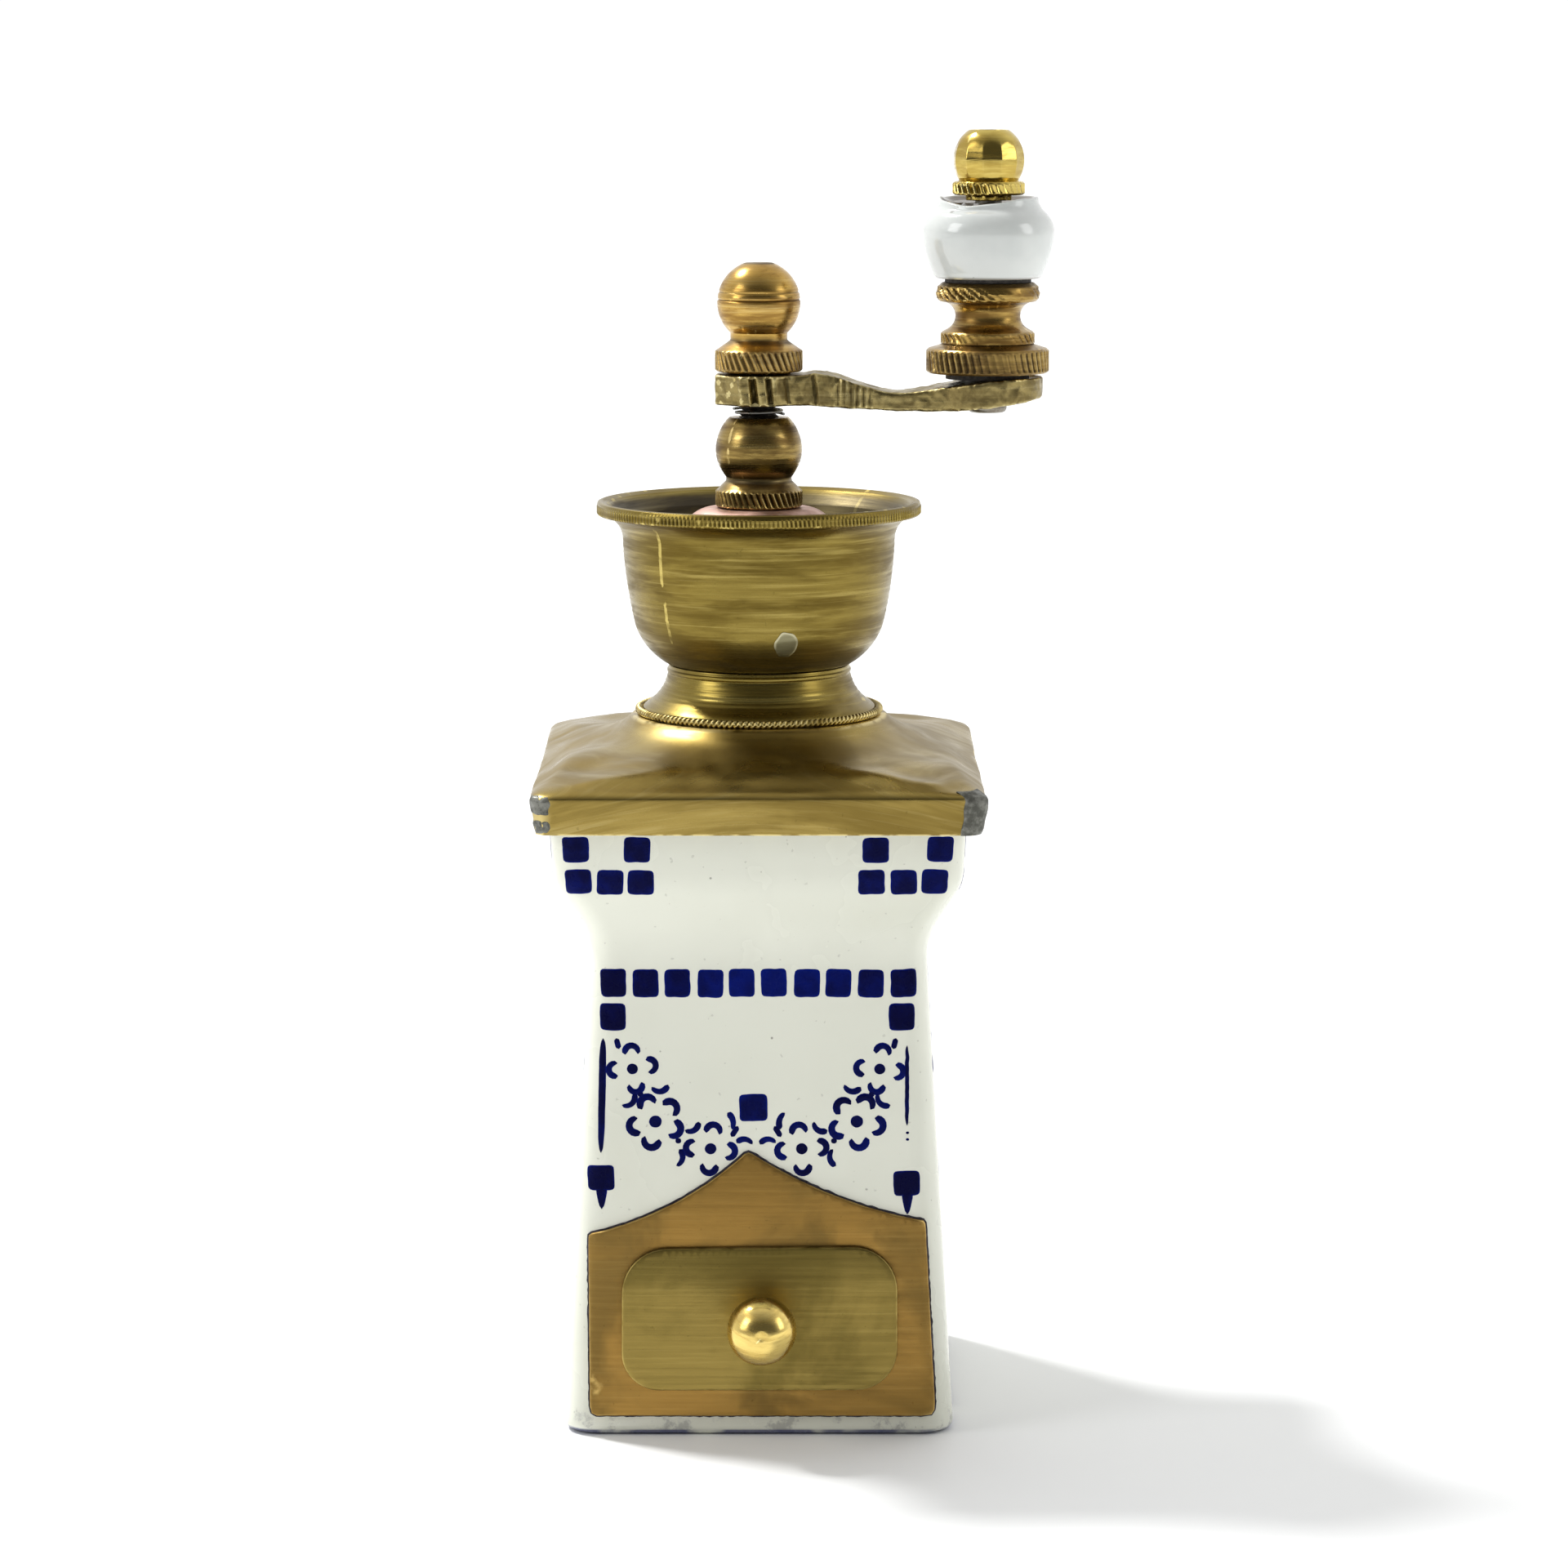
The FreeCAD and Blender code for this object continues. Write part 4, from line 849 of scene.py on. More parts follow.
def front_pieces():
    """Gabled plate on its dark bedding, the flush rivet and the drawer's front."""
    loop = plate_loop()
    mouth = rounded_loop([(18.4, 8.95, 1), (18.4, 27.2, 1), (-18.4, 27.2, 1), (-18.4, 8.95, 1)])[::-1]
    turns = np.linspace(0, 2 * math.pi, 40, endpoint=False)
    rivet_x, rivet_z = -1.0, 35.5
    seat = np.array([(rivet_x + 2.47 * math.cos(a), rivet_z + 2.47 * math.sin(a)) for a in turns])[::-1]
    sheet_piece("gable_plate", [loop, mouth, seat], PLATE_THICK, 0.22, hugging, "mill_body",
                PLATE,
                ("drawer_escutcheon",))
    ragged = np.array([p + 0.16 * noise.noise(Vector((*(p * 1.3), 3))) for p in offset(loop, -0.27)])
    sheet_piece("plate_bedding", [ragged, seat], 0.14, 0.05, hugging, "mill_body", PUTTY)
    head = np.array([(rivet_x + r * math.cos(a), rivet_z + r * math.sin(a)) for a in turns
                     for r in [2.2 + 0.07 * math.sin(2 * a + 1) + 0.05 * math.sin(5 * a)]])
    sheet_piece("flush_rivet", [head], 0.74, 0.16, on_front, "mill_body", RIVET,
                ("escutcheon_rivet",), grid=0.5, crown=lambda x, z: 0.04)
    face = rounded_loop([(20.75, 7.35, 6.2), (20.7, 29.1, 6.6), (-20.35, 28.7, 6.8), (-20.5, 7.3, 5.6)])

    def crown(x, z):
        return 0.05 * noise.noise(Vector((x * 0.09, z * 0.09, 2))) + 0.06 * (1 - (x / 20.6) ** 2)

    sheet_piece("drawer_face", [face], FRONT_THICK, 0.28, on_front, "drawer", FRONT,
                ("drawer_front",), near=FRONT_NEAR, crown=crown)


def drawer_ball():
    """Turned knob on a short flared neck, slightly out of round."""
    reach, radius, centre = 7.4, 5.1, (0.5, 18.0)
    outline = soft([(0, -2.0), (1.2, -2.0), (1.2, -0.02), (3.5, -0.02), (3.5, 0.5), (2.7, 0.9), (2.25, 1.6),
                    *ball(reach, radius, 2.2, 1.2, 40), (0.9, reach + 5.0), (0, reach + 4.92)], 0.12, 0.5)

    def shape(r, h, a):
        return r * (1 + 0.006 * np.sin(2 * a + 0.5) + 0.004 * np.sin(3 * a + h)), h

    def place(x, y, z):
        return on_front(x + centre[0], -FRONT_NEAR - FRONT_THICK - z, centre[1] + y)

    lathe("drawer_ball_knob", outline, 88, "drawer", KNOB, ("drawer_knob",), shape=shape,
          place=place, loop=False)


# --- cap --------------------------------------------------------------------------------

CAP_TOP = high_of("cap_shell")
SKIRT_LOW = CAP_TOP - 13.8
CAP_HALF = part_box("cap_shell")[1].x / MM
# half width, corner radius, height under the cap's top
CAP_KEYS = [(CAP_HALF - 0.8, 2.2, -13.8), (CAP_HALF - 0.55, 2.3, -12.0), (CAP_HALF - 0.25, 2.4, -10.0),
            (CAP_HALF - 0.12, 2.5, -8.6), (CAP_HALF - 0.3, 2.6, -8.1), (CAP_HALF - 0.95, 3.0, -7.55),
            (CAP_HALF - 2.4, 4.2, -6.75), (CAP_HALF - 5.0, 7.0, -5.2), (CAP_HALF - 8.2, 11.5, -3.85),
            (CAP_HALF - 11.4, 17.0, -1.9), (CAP_HALF - 14.4, 19.1, -0.05)]
NECK_BORE = 12.85
CAP_SHEET = 0.8
CAP_PER_SIDE = 44


def cap_ring(half, corner, z, per_side=CAP_PER_SIDE):
    """Ring of evenly turned points on a rounded square."""
    corner = min(corner, half - 0.01)
    flat = half - corner
    ring = []
    for k in range(4 * per_side):
        a = 2 * math.pi * (k + 0.5) / (4 * per_side) - math.pi / 4
        turn = math.floor(a / (math.pi / 2) + 0.5)
        local = a - turn * math.pi / 2
        share = math.tan(local)
        straight = flat / half
        if abs(share) <= straight:
            x, y = half, share * half
        else:
            bend = (abs(local) - math.atan(straight)) / (math.pi / 4 - math.atan(straight)) * math.pi / 4
            x = flat + corner * math.cos(bend)
            y = math.copysign(flat + corner * math.sin(bend), local)
        c, s = math.cos(turn * math.pi / 2), math.sin(turn * math.pi / 2)
        ring.append((x * c - y * s, x * s + y * c, z))
    return ring


FLARE = through([(18.0, CAP_TOP + 0.5), (19.1, CAP_TOP - 0.05), (20.5, CAP_TOP - 1.3), (22.5, CAP_TOP - 2.5),
                 (25.5, CAP_TOP - 3.6), (29.5, CAP_TOP - 4.5), (34, CAP_TOP - 5.3), (40, CAP_TOP - 6.3),
                 (48, CAP_TOP - 8.0)], 6)


def cap_warp(x, y, z):
    """Turns the square loft into the pressed cap: a round flare under the neck, a lifted
    back, dents and pinched corners."""
    reach = max(abs(x), abs(y))
    over = z - float(np.interp(math.hypot(x, y), FLARE[:, 0], FLARE[:, 1]))
    z -= 0.5 * (over + math.sqrt(over * over + 0.04)) - 0.1
    rise = 1.35 * smooth_step(y, 4, 33) * smooth_step(reach, 20, 30)
    rise = rise * smooth_step(z, SKIRT_LOW + 1, SKIRT_LOW + 5)
    spot = Vector((x, y, z))
    rough = smooth_step(reach, 19.5, 24)
    dent = 0.28 * noise.noise(spot * 0.085) + 0.12 * noise.noise(spot * 0.26 + Vector((3, 1, 0)))
    # (x, y, depth, size) of single dents on the top
    for dx, dy, depth, size in ((24, -27, 0.45, 3.2), (27, -14, 0.35, 4.0), (-25, -22, 0.3, 3.5),
                                (29, -31, 0.5, 2.0)):
        dent -= depth * math.exp(-((x - dx) ** 2 + (y - dy) ** 2) / size ** 2)
    top = float(smooth_step(z, CAP_TOP - 8.6, CAP_TOP - 5.5))
    z += float(rise) + float(rough) * dent * top
    pull = 1 - 0.0035 * float(rough) * (1 - top) * (1 + noise.noise(spot * 0.15))
    return x * pull, y * pull, min(z, CAP_TOP)


def pressed_cap():
    keys = [(h, r, CAP_TOP + z) for h, r, z in CAP_KEYS]
    outside = [(*row, 0.0) for row in through(keys, 7)]
    inside = [(h - CAP_SHEET, max(r - CAP_SHEET, 0.8), z,
               CAP_SHEET * float(smooth_step(z, CAP_TOP - 9.5, CAP_TOP - 7.5)))
              for h, r, z, _ in outside[::-1]]
    bore = [(NECK_BORE, NECK_BORE - 0.01, CAP_TOP - 0.05, down) for down in (0.0, CAP_SHEET)]
    rows = outside + bore + inside
    points = []
    for half, corner, z, down in rows:
        for spot in cap_ring(half, corner, z):
            x, y, height = cap_warp(*spot)
            points.append((x, y, height - down))
    faces = grid_faces(len(rows), 4 * CAP_PER_SIDE, True)
    piece("pressed_cap", points, faces, "mill_body", CAP, ("cap_shell",), crease=50)


def solder_lump(x_side, y_side, low, high, wide, bulge, seed):
    """Rough patch of solder wrapped round one corner of the skirt."""
    rows, columns = 26, 34
    inset = 0.22 if x_side < 0 or y_side > 0 else 0.0
    points = []
    for layer in (1, 0):
        for i in range(rows):
            v = i / (rows - 1)
            z = low + (high - low) * v
            half = float(np.interp(z - CAP_TOP, [k[2] for k in CAP_KEYS[:8]], [k[0] for k in CAP_KEYS[:8]]))
            corner = 2.6
            for k in range(columns):
                u = 2 * k / (columns - 1) - 1
                away = wide * u * (0.8 + 0.25 * noise.noise(Vector((v * 2.2, u, seed))))
                edge = (1 - abs(u) ** 4) * (1 - abs(2 * v - 1) ** 5)
                lift = bulge * edge * (0.75 + 0.5 * noise.noise(Vector((u * 1.6, v * 2.4, seed + 5)))) - 0.1
                lift = min(lift, bulge) if layer else -0.5
                length = corner * math.pi / 4
                if abs(away) <= length:
                    bend = away / corner + math.pi / 4
                    px = -corner + (corner + lift) * math.cos(bend)
                    py = -corner + (corner + lift) * math.sin(bend)
                else:
                    px, py = lift, -corner - (abs(away) - length)
                    if away > 0:
                        px, py = py, px
                points.append((x_side * (half - inset + px), y_side * (half - inset + py), z))
    faces = []
    size = rows * columns
    for i in range(rows - 1):
        for k in range(columns - 1):
            quad = (i * columns + k, i * columns + k + 1, (i + 1) * columns + k + 1, (i + 1) * columns + k)
            faces.append(quad)
            faces.append(tuple(size + q for q in quad[::-1]))
    rim = list(range(columns)) + [i * columns + columns - 1 for i in range(1, rows)]
    rim += [(rows - 1) * columns + k for k in range(columns - 2, -1, -1)]
    rim += [i * columns for i in range(rows - 2, 0, -1)]
    for a, b in zip(rim, rim[1:] + rim[:1]):
        faces.append((a, b, size + b, size + a))
    return points, faces


def corner_solder():
    """The corner patches: two small ones at the left front, a tall one at each other corner."""
    points, faces = [], []
    low = SKIRT_LOW
    for x_side, y_side, a, b, wide, bulge, seed in (
            (1, -1, low + 0.05, low + 6.5, 3.3, 0.5, 3), (-1, -1, low + 3.0, low + 6.2, 3.2, 0.5, 8),
            (-1, -1, low + 0.1, low + 2.4, 2.6, 0.42, 15), (1, 1, low + 0.4, low + 6.0, 3.0, 0.45, 21),
            (-1, 1, low + 0.3, low + 5.6, 3.0, 0.45, 30)):
        more, quads = solder_lump(x_side, y_side, a, b, wide, bulge, seed)
        faces += [tuple(len(points) + i for i in quad) for quad in quads]
        points += more
    piece("solder_patches", points, faces, "mill_body", SOLDER, ("corner_solder",), crease=50)


# --- neck and hopper --------------------------------------------------------------------

def neck():
    """Trumpet-shaped neck with faint turning ridges and a rolled lip under the bowl."""
    low = low_of("neck_pedestal")
    outline = soft([(NECK_BORE, 0), (17.7, 0), (17.7, 1.0, 0.3), (17.2, 1.45, 0.6),
                    *arc((16.6, 1.9), (15.15, 3.3), (14.05, 5.6), 12), (13.85, 6.2), (14.0, 6.5),
                    (14.0, 6.8), (13.8, 7.0), (13.75, 7.5), (NECK_BORE, 7.5)], 0.12, 0.3)

    def shape(r, h, a):
        ridge = 0.035 * np.sin(h * 9.0) * smooth_step(h, 1.8, 3.0) * smooth_step(-h, -6.0, -5.0)
        return np.where(r > 13.2, r + ridge + 0.03 * np.sin(2 * a), r), h + low

    lathe("neck_trumpet", outline, 160, "mill_body", AGED, ("neck_pedestal",), shape=shape)


def bead_ring():
    """Ring of wire with slanting milled ticks."""
    low, high = low_of("neck_bead_ring"), high_of("neck_bead_ring")
    major, minor, ticks = 18.3, (high - low) / 2, 140
    columns, section = ticks * 7, 14
    points = []
    for v in range(section):
        b = 2 * math.pi * v / section
        for u in range(columns):
            a = 2 * math.pi * u / columns
            wave = 0.5 + 0.5 * math.cos(ticks * a - 1.6 * b)
            uneven = 0.85 + 0.3 * noise.noise(Vector((math.floor(ticks * a / 6.283), 0, 0)))
            r = minor * (1 - 0.42 * wave ** 2 * uneven)
            reach = major + r * math.cos(b)
            points.append((reach * math.cos(a), reach * math.sin(a), low + minor + r * math.sin(b)))
    piece("milled_bead_ring", points, grid_faces(section, columns, True), "mill_body", CAP,
          ("neck_bead_ring",), crease=70)


# (radius, height) of the bowl's outside, from its foot to under the lip
BELLY = arc((13.6, 0), (16.9, 2.6), (18.75, 5.8), 16)
BELLY += arc((18.75, 5.8), (19.95, 12.0), (20.6, 18.8), 16)


def bowl():
    """Spun bowl: foot, belly, turned-out lip with a milled edge; the lip slopes inwards."""
    low = low_of("hopper_bowl")
    rim_r = 24.6
    outer = BELLY + arc((20.6, 18.8), (21.3, 21.3), (23.2, 22.75), 10)
    rim = [(24.35, 22.85), (rim_r, 23.15), (rim_r, 24.1), (24.35, 24.75), (23.9, 24.88), (23.0, 24.45),
           (22.2, 23.6)]
    inner = [(21.0, 22.3)] + arc((20.3, 20.9), (19.15, 12.2), (18.0, 6.1), 18)
    inner += arc((18.0, 6.1), (16.2, 3.2), (13.2, 0.95), 10)
    outline = soft([(10.6, 0.0), (13.3, 0.0)] + outer + rim + inner + [(10.6, 0.8)], 0.1, 0.6)
    columns, teeth = 920, 230

    def shape(r, h, a):
        outside = grooves(r, h, a, 23.0, 24.2, rim_r, teeth, 0.2, 0.0006, 0.35, 1.3)
        wave = 0.05 * np.sin(2 * a + 0.7) + 0.03 * np.sin(3 * a + h * 0.2) + 0.02 * np.sin(5 * a)
        lines = 0.012 * np.sin(h * 21) + 0.02 * np.sin(h * 6.3 + 0.6 * np.sin(a))
        belly = smooth_step(h, 1.5, 4) * smooth_step(-h, -22, -20)
        scratch = 0.0
        for height, tilt, start, end in ((11.2, 0.22, -2.9, -0.3), (13.3, -0.1, -3.0, -1.3),
                                         (8.4, 0.12, -2.6, -1.7)):
            middle = height + tilt * np.cos(a)
            there = smooth_step(wrapped(a), start, start + 0.4) * smooth_step(-wrapped(a), -end, -end + 0.5)
            scratch = scratch + 0.07 * np.exp(-((h - middle) / 0.16) ** 2) * there
        outside = outside + np.where(r > 17.0, wave * smooth_step(h, 3, 9) + (lines - scratch) * belly, 0.0)
        return np.minimum(outside, rim_r), h + low

    inner_edge = np.argmax(outline[:, 1])
    # Painted shade: the bowl's inside darkens almost to black, and its underside darkens by half towards the
    # foot.
    inside = (np.arange(len(outline)) > inner_edge + 2) * smooth_step(-outline[:, 1], -24.6, -23.4)
    tone = np.maximum(0.95 * inside, 0.55 * smooth_step(-outline[:, 1], -5.0, -1.0))
    lathe("spun_bowl", outline, columns, "mill_body", AGED, ("hopper_bowl",), shape=shape,
          tone=tone)


def bowl_rivets():
    """Greyed rivet ends, ground nearly flush with the bowl's wall."""
    points, faces = [], []
    low = low_of("hopper_bowl")
    radii, heights = zip(*BELLY)
    for turn in (-90 + 13, 90 + 13):
        rings, count = 7, 40
        first = len(points)
        for lift_in in (1, 0):
            for i in range(rings):
                share = i / (rings - 1)
                for k in range(count):
                    a = 2 * math.pi * k / count
                    spot = Vector((math.cos(a) * 1.5, math.sin(a) * 1.5, turn))
                    reach = 1.75 * share * (1 + 0.12 * noise.noise(spot))
                    h = 5.0 + reach * math.sin(a) * 1.1
                    r = float(np.interp(h, heights, radii))
                    lift = 0.1 * (1 - share ** 3) + 0.06 if lift_in else -0.3
                    b = math.radians(turn) + reach * math.cos(a) / r
                    points.append(((r + lift) * math.cos(b), (r + lift) * math.sin(b), low + h))
        size = rings * count
        outer = grid_faces(rings, count)
        faces += [tuple(first + i for i in f) for f in outer]
        faces += [tuple(first + size + i for i in f[::-1]) for f in outer]
        rim = (rings - 1) * count
        for k in range(count):
            n = (k + 1) % count
            faces.append((first + rim + k, first + rim + n, first + size + rim + n, first + size + rim + k))
    piece("flush_bowl_rivets", points, faces, "mill_body", SMEAR, ("bridge_rivets",), crease=60)


def domed_washer():
    low, high = low_of("thrust_washer"), high_of("thrust_washer")
    dome = arc((10.1, 0.5), (9.1, 1.15), (6.9, high - low - 0.03), 12)
    outline = soft([(3.3, 0), (10.3, 0), (10.3, 0.35)] + dome + [(3.3, high - low - 0.03)], 0.1, 0.5)

    def shape(r, h, a):
        sag = 0.012 * (1 + np.sin(5 * a)) * (h > 0.6)
        return r + 0.04 * np.sin(3 * a) * (r > 5), h + low - sag

    lathe("domed_copper_washer", outline, 128, "mill_body", COPPER, ("thrust_washer",), shape=shape)


# --- nuts, spring, shaft, crank ---------------------------------------------------------

def adjusting_nut():
    low = low_of("adjusting_nut")
    outline = soft([(3.05, 0), (6.25, 0), (6.6, 0.3), (6.6, 2.45), (6.2, 2.75), (5.6, 3.4), (5.05, 3.9),
                    (4.95, 4.25),
                    *ball(8.8, 6.55, 4.98, 4.5, 34), (4.1, 13.58), (3.05, 13.6)], 0.14, 0.35)

    def shape(r, h, a):
        r = grooves(r, h, a, 0.35, 2.5, 6.6, 42, 0.3, 0.01, 0.3, 1.6)
        on_ball = smooth_step(h, 4.4, 5.2)
        turning = 0.022 * np.sin(h * 13 + 0.7 * np.sin(a)) * (r > 4.6) + 0.03 * np.sin(2 * a + h) * (r > 4.6)
        return np.where(r > 4.3, r + on_ball * (turning - 0.03), r), h + low

    # Painted shade in the neck between the knurled collar and the ball.
    tone = 0.7 * smooth_step(-outline[:, 1], -5.4, -4.3) * smooth_step(outline[:, 1], 3.6, 4.0)
    lathe("grind_nut", outline, 336, "adjuster", NUT, ("adjusting_nut",), shape=shape, tone=tone)


def crank_nut():
    low = low_of("crank_ball_nut")
    outline = soft([(2.2, 0), (6.3, 0), (6.62, 0.3), (6.62, 3.05), (6.3, 3.3), (4.9, 4.25, 0.5),
                    (4.3, 4.7, 0.3),
                    *ball(10.35, 6.27, 4.3, 2.3, 40), (2.15, 16.25), (1.9, 16.3), (0, 16.28), (0, 9.1),
                    (2.2, 9.1)],
                   0.12, 0.3)

    def shape(r, h, a):
        r = grooves(r, h, a, 0.35, 3.05, 6.62, 38, 0.34, 0.011, 0.3, 2.2)
        for height, depth in ((10.8, 0.22), (11.95, 0.16)):
            r = np.where(r > 3.5, r - depth * np.exp(-((h - height - 0.05 * np.sin(a)) / 0.13) ** 2), r)
        return r, h + low

    # The knurled collar and the top end are darker; painted shade in the neck under the ball.
    collar = 0.45 * smooth_step(outline[:, 0], 6.2, 6.5) * smooth_step(-outline[:, 1], -4, -3)
    neck_shade = 0.75 * smooth_step(-outline[:, 1], -5.5, -4.6) * smooth_step(outline[:, 1], 3.8, 4.4)
    top = 0.8 * smooth_step(outline[:, 1], 16.0, 16.2)
    tone = np.maximum(np.maximum(collar, neck_shade), top)
    lathe("crank_nut", outline, 304, "spindle", CRANK_NUT, ("crank_ball_nut",), shape=shape,
          tone=tone)


def helix_tube(wire, radius, low, high, turns, tails=0.0, steps=28, sides=10):
    """Closed round wire wound about Z, with straight tails that leave the coil at both ends."""
    centre = []
    total = int(steps * turns)
    for i in range(total + 1):
        a = 2 * math.pi * turns * i / total + 0.3
        centre.append(Vector((radius * math.cos(a), radius * math.sin(a),
                              low + wire + (high - low - 2 * wire) * i / total)))
    if tails:
        centre.insert(0, centre[0] + (centre[0] - centre[1]).normalized() * tails)
        centre.append(centre[-1] + (centre[-1] - centre[-2]).normalized() * tails)
    points = []
    for i, c in enumerate(centre):
        along = (centre[min(i + 1, len(centre) - 1)] - centre[max(i - 1, 0)]).normalized()
        across = along.cross(Vector((0, 0, 1))).normalized()
        up = across.cross(along)
        for k in range(sides):
            b = 2 * math.pi * k / sides
            points.append(c + wire * (math.cos(b) * across + math.sin(b) * up))
    return points, capped(len(centre), sides)


def springs():
    """The lock's wire, and the coil that presses the cone burr down; on the real mill the coil shortens with
    the lift.
    """
    low, high = low_of("lock_spring"), high_of("lock_spring")
    points, faces = helix_tube(0.2, 3.5, low, high - 0.5, 1.4, tails=1.1)
    piece("lock_wire", points, faces, "lock", SPRING_STEEL, ("lock_spring",), crease=60)
    low, high = low_of("spindle_spring"), high_of("spindle_spring")
    points, faces = helix_tube(0.4, 4.2, low, high - 0.05, 7)
    spring = piece("spindle_coil", points, faces, "spindle", SPRING_STEEL,
                   ("spindle_spring",), crease=60)
    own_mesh(spring)


def threaded_shaft():
    """Spindle with a real thread where it shows, a collar, the crank's square and a stud."""
    low, thread_low, square_low, square_high = low_of("drive_shaft"), 145.0, 152.45, 157.0
    top = high_of("drive_shaft")
    columns = 48
    rows = [(0, low), (2.2, low), (2.5, low + 0.3), (2.5, 100.9), (4.6, 100.9), (4.6, 101.9), (3.0, 101.9)]
    rows = list(soft(rows, 0.08, 2.0)) + [(3.0, z) for z in np.arange(103.0, thread_low, 6.0)]
    rows += [(3.0, z) for z in np.arange(thread_low, square_low - 0.05, 0.1)]
    rows += [(-1, square_low), (-1, square_high)]
    rows += list(soft([(2.2, square_high), (2.2, top - 0.4), (1.8, top), (0, top)], 0.1, 2.0))
    points = []
    for r, z in rows:
        for k in range(columns):
            a = 2 * math.pi * k / columns
            reach = r
            if r < 0:
                reach = min(2.2 / max(abs(math.cos(a)), abs(math.sin(a))), 3.0)
            elif thread_low <= z < square_low:
                turn = (z - a / (2 * math.pi)) % 1.0
                reach = 3.0 - 0.55 * abs(2 * turn - 1)
            points.append((reach * math.cos(a), reach * math.sin(a), z))
    piece("threaded_shaft", points, grid_faces(len(rows), columns), "spindle", DARK_STEEL,
          ("drive_shaft",), crease=40)


def cast_arm():
    """The CAD arm as a casting: remeshed, softened, hammered, with filed grooves by the hub."""
    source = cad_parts["crank_arm"]
    work = bpy.data.objects.new("arm_work", source.data.copy())
    bpy.context.scene.collection.objects.link(work)
    remesh = work.modifiers.new("voxels", "REMESH")
    remesh.mode = "VOXEL"
    remesh.voxel_size = 0.26 * MM
    relax = work.modifiers.new("relax", "SMOOTH")
    relax.factor, relax.iterations = 0.5, 5
    bpy.context.view_layer.update()
    mesh = bpy.data.meshes.new_from_object(work.evaluated_get(bpy.context.evaluated_depsgraph_get()))
    bpy.data.objects.remove(work)
    count = len(mesh.vertices)
    spots = np.empty(count * 3)
    normals = np.empty(count * 3)
    mesh.vertices.foreach_get("co", spots)
    mesh.vertex_normals.foreach_get("vector", normals)
    spots, normals = spots.reshape(-1, 3) / MM, normals.reshape(-1, 3)
    pad_top = 156.3
    moved = []
    for (x, y, z), n in zip(spots, normals):
        spot = Vector((x, y, z))
        side = abs(n[1]) ** 2
        push = 0.10 * noise.noise(spot * 0.55) + 0.05 * noise.noise(spot * 1.4)
        push -= 0.16 * (0.55 - min(noise.voronoi(spot * 0.42)[0][0], 0.55))
        for groove_x, depth, width in ((-3.2, 0.35, 0.35), (-0.7, 1.0, 0.5), (1.7, 0.8, 0.45),
                                       (4.6, 0.5, 0.4), (8.4, 0.45, 0.4)):
            push -= depth * side * math.exp(-((x - groove_x + 0.12 * (z - 154)) / width) ** 2)
        filed = smooth_step(x, 10.5, 12.0) * smooth_step(-x, -18.5, -16.0) * side
        push -= 0.24 * float(filed) * (0.5 + 0.5 * math.sin(x * 6.5 + 1.5 * noise.noise(spot * 0.7)))
        ridge = smooth_step(x, 8, 10) * smooth_step(-x, -16, -14) * max(n[2], 0.0)
        push += 0.35 * float(ridge) * math.exp(-(y / 1.6) ** 2) - 0.25 * float(ridge)
        fixed = abs(n[2]) > 0.9 and (math.hypot(x - HANDLE_X, y) < 8.0 and z > pad_top - 0.5
                                     or math.hypot(x, y) < 7.0)
        inside = math.hypot(x, y) < 3.6 or math.hypot(x - HANDLE_X, y) < 2.6
        moved.append((spot + Vector(n) * (0.0 if fixed or inside else push)) * MM)
    mesh.vertices.foreach_set("co", np.array(moved).ravel())
    placed("cast_crank_arm", mesh, "spindle", ARM, ("crank_arm",), 50)


# --- handle -----------------------------------------------------------------------------

def spool():
    low = low_of("handle_spool")
    outline = soft([(2.05, 0), (8.9, 0), (9.27, 0.3), (9.27, 3.35), (8.9, 3.7), (7.5, 4.1, 0.2),
                    (6.9, 4.35, 0.2),
                    (7.1, 4.5), (7.1, 5.9), (6.8, 6.2), (6.35, 6.45),
                    *arc((6.3, 6.5), (4.9, 8.4), (6.4, 10.6), 18),
                    (7.3, 10.75), (7.75, 11.2), (7.88, 12.0), (7.6, 12.95), (6.9, 13.55), (2.05, 13.55)],
                   0.12, 0.35)

    def shape(r, h, a):
        r = grooves(r, h, a, 0.4, 3.3, 9.27, 52, 0.26, 0.004, 0.6, 1.6)
        r = grooves(r, h, a, 4.7, 5.9, 7.1, 34, 0.16, 0.02, 0.9, 1.5)
        r = grooves(r, h, a, 11.2, 12.9, 7.9, 30, 0.22, 0.03, 0.9, 1.3)
        beat = 0.07 * np.sin(7 * a + 3 * np.sin(2 * a)) * smooth_step(h, 10.8, 11.6) * (r > 6.5)
        return np.where(r > 3, r - np.abs(beat), r), h + low

    # Darker knurled flange; painted shade at the top, where the porcelain grip sits on it.
    tone = 0.35 * smooth_step(outline[:, 0], 9.0, 9.2) + 0.5 * smooth_step(outline[:, 1], 12.6, 13.4)
    lathe("handle_foot", outline, 416, "grip", SPOOL, ("handle_spool",), x=HANDLE_X,
          shape=shape, tone=tone)


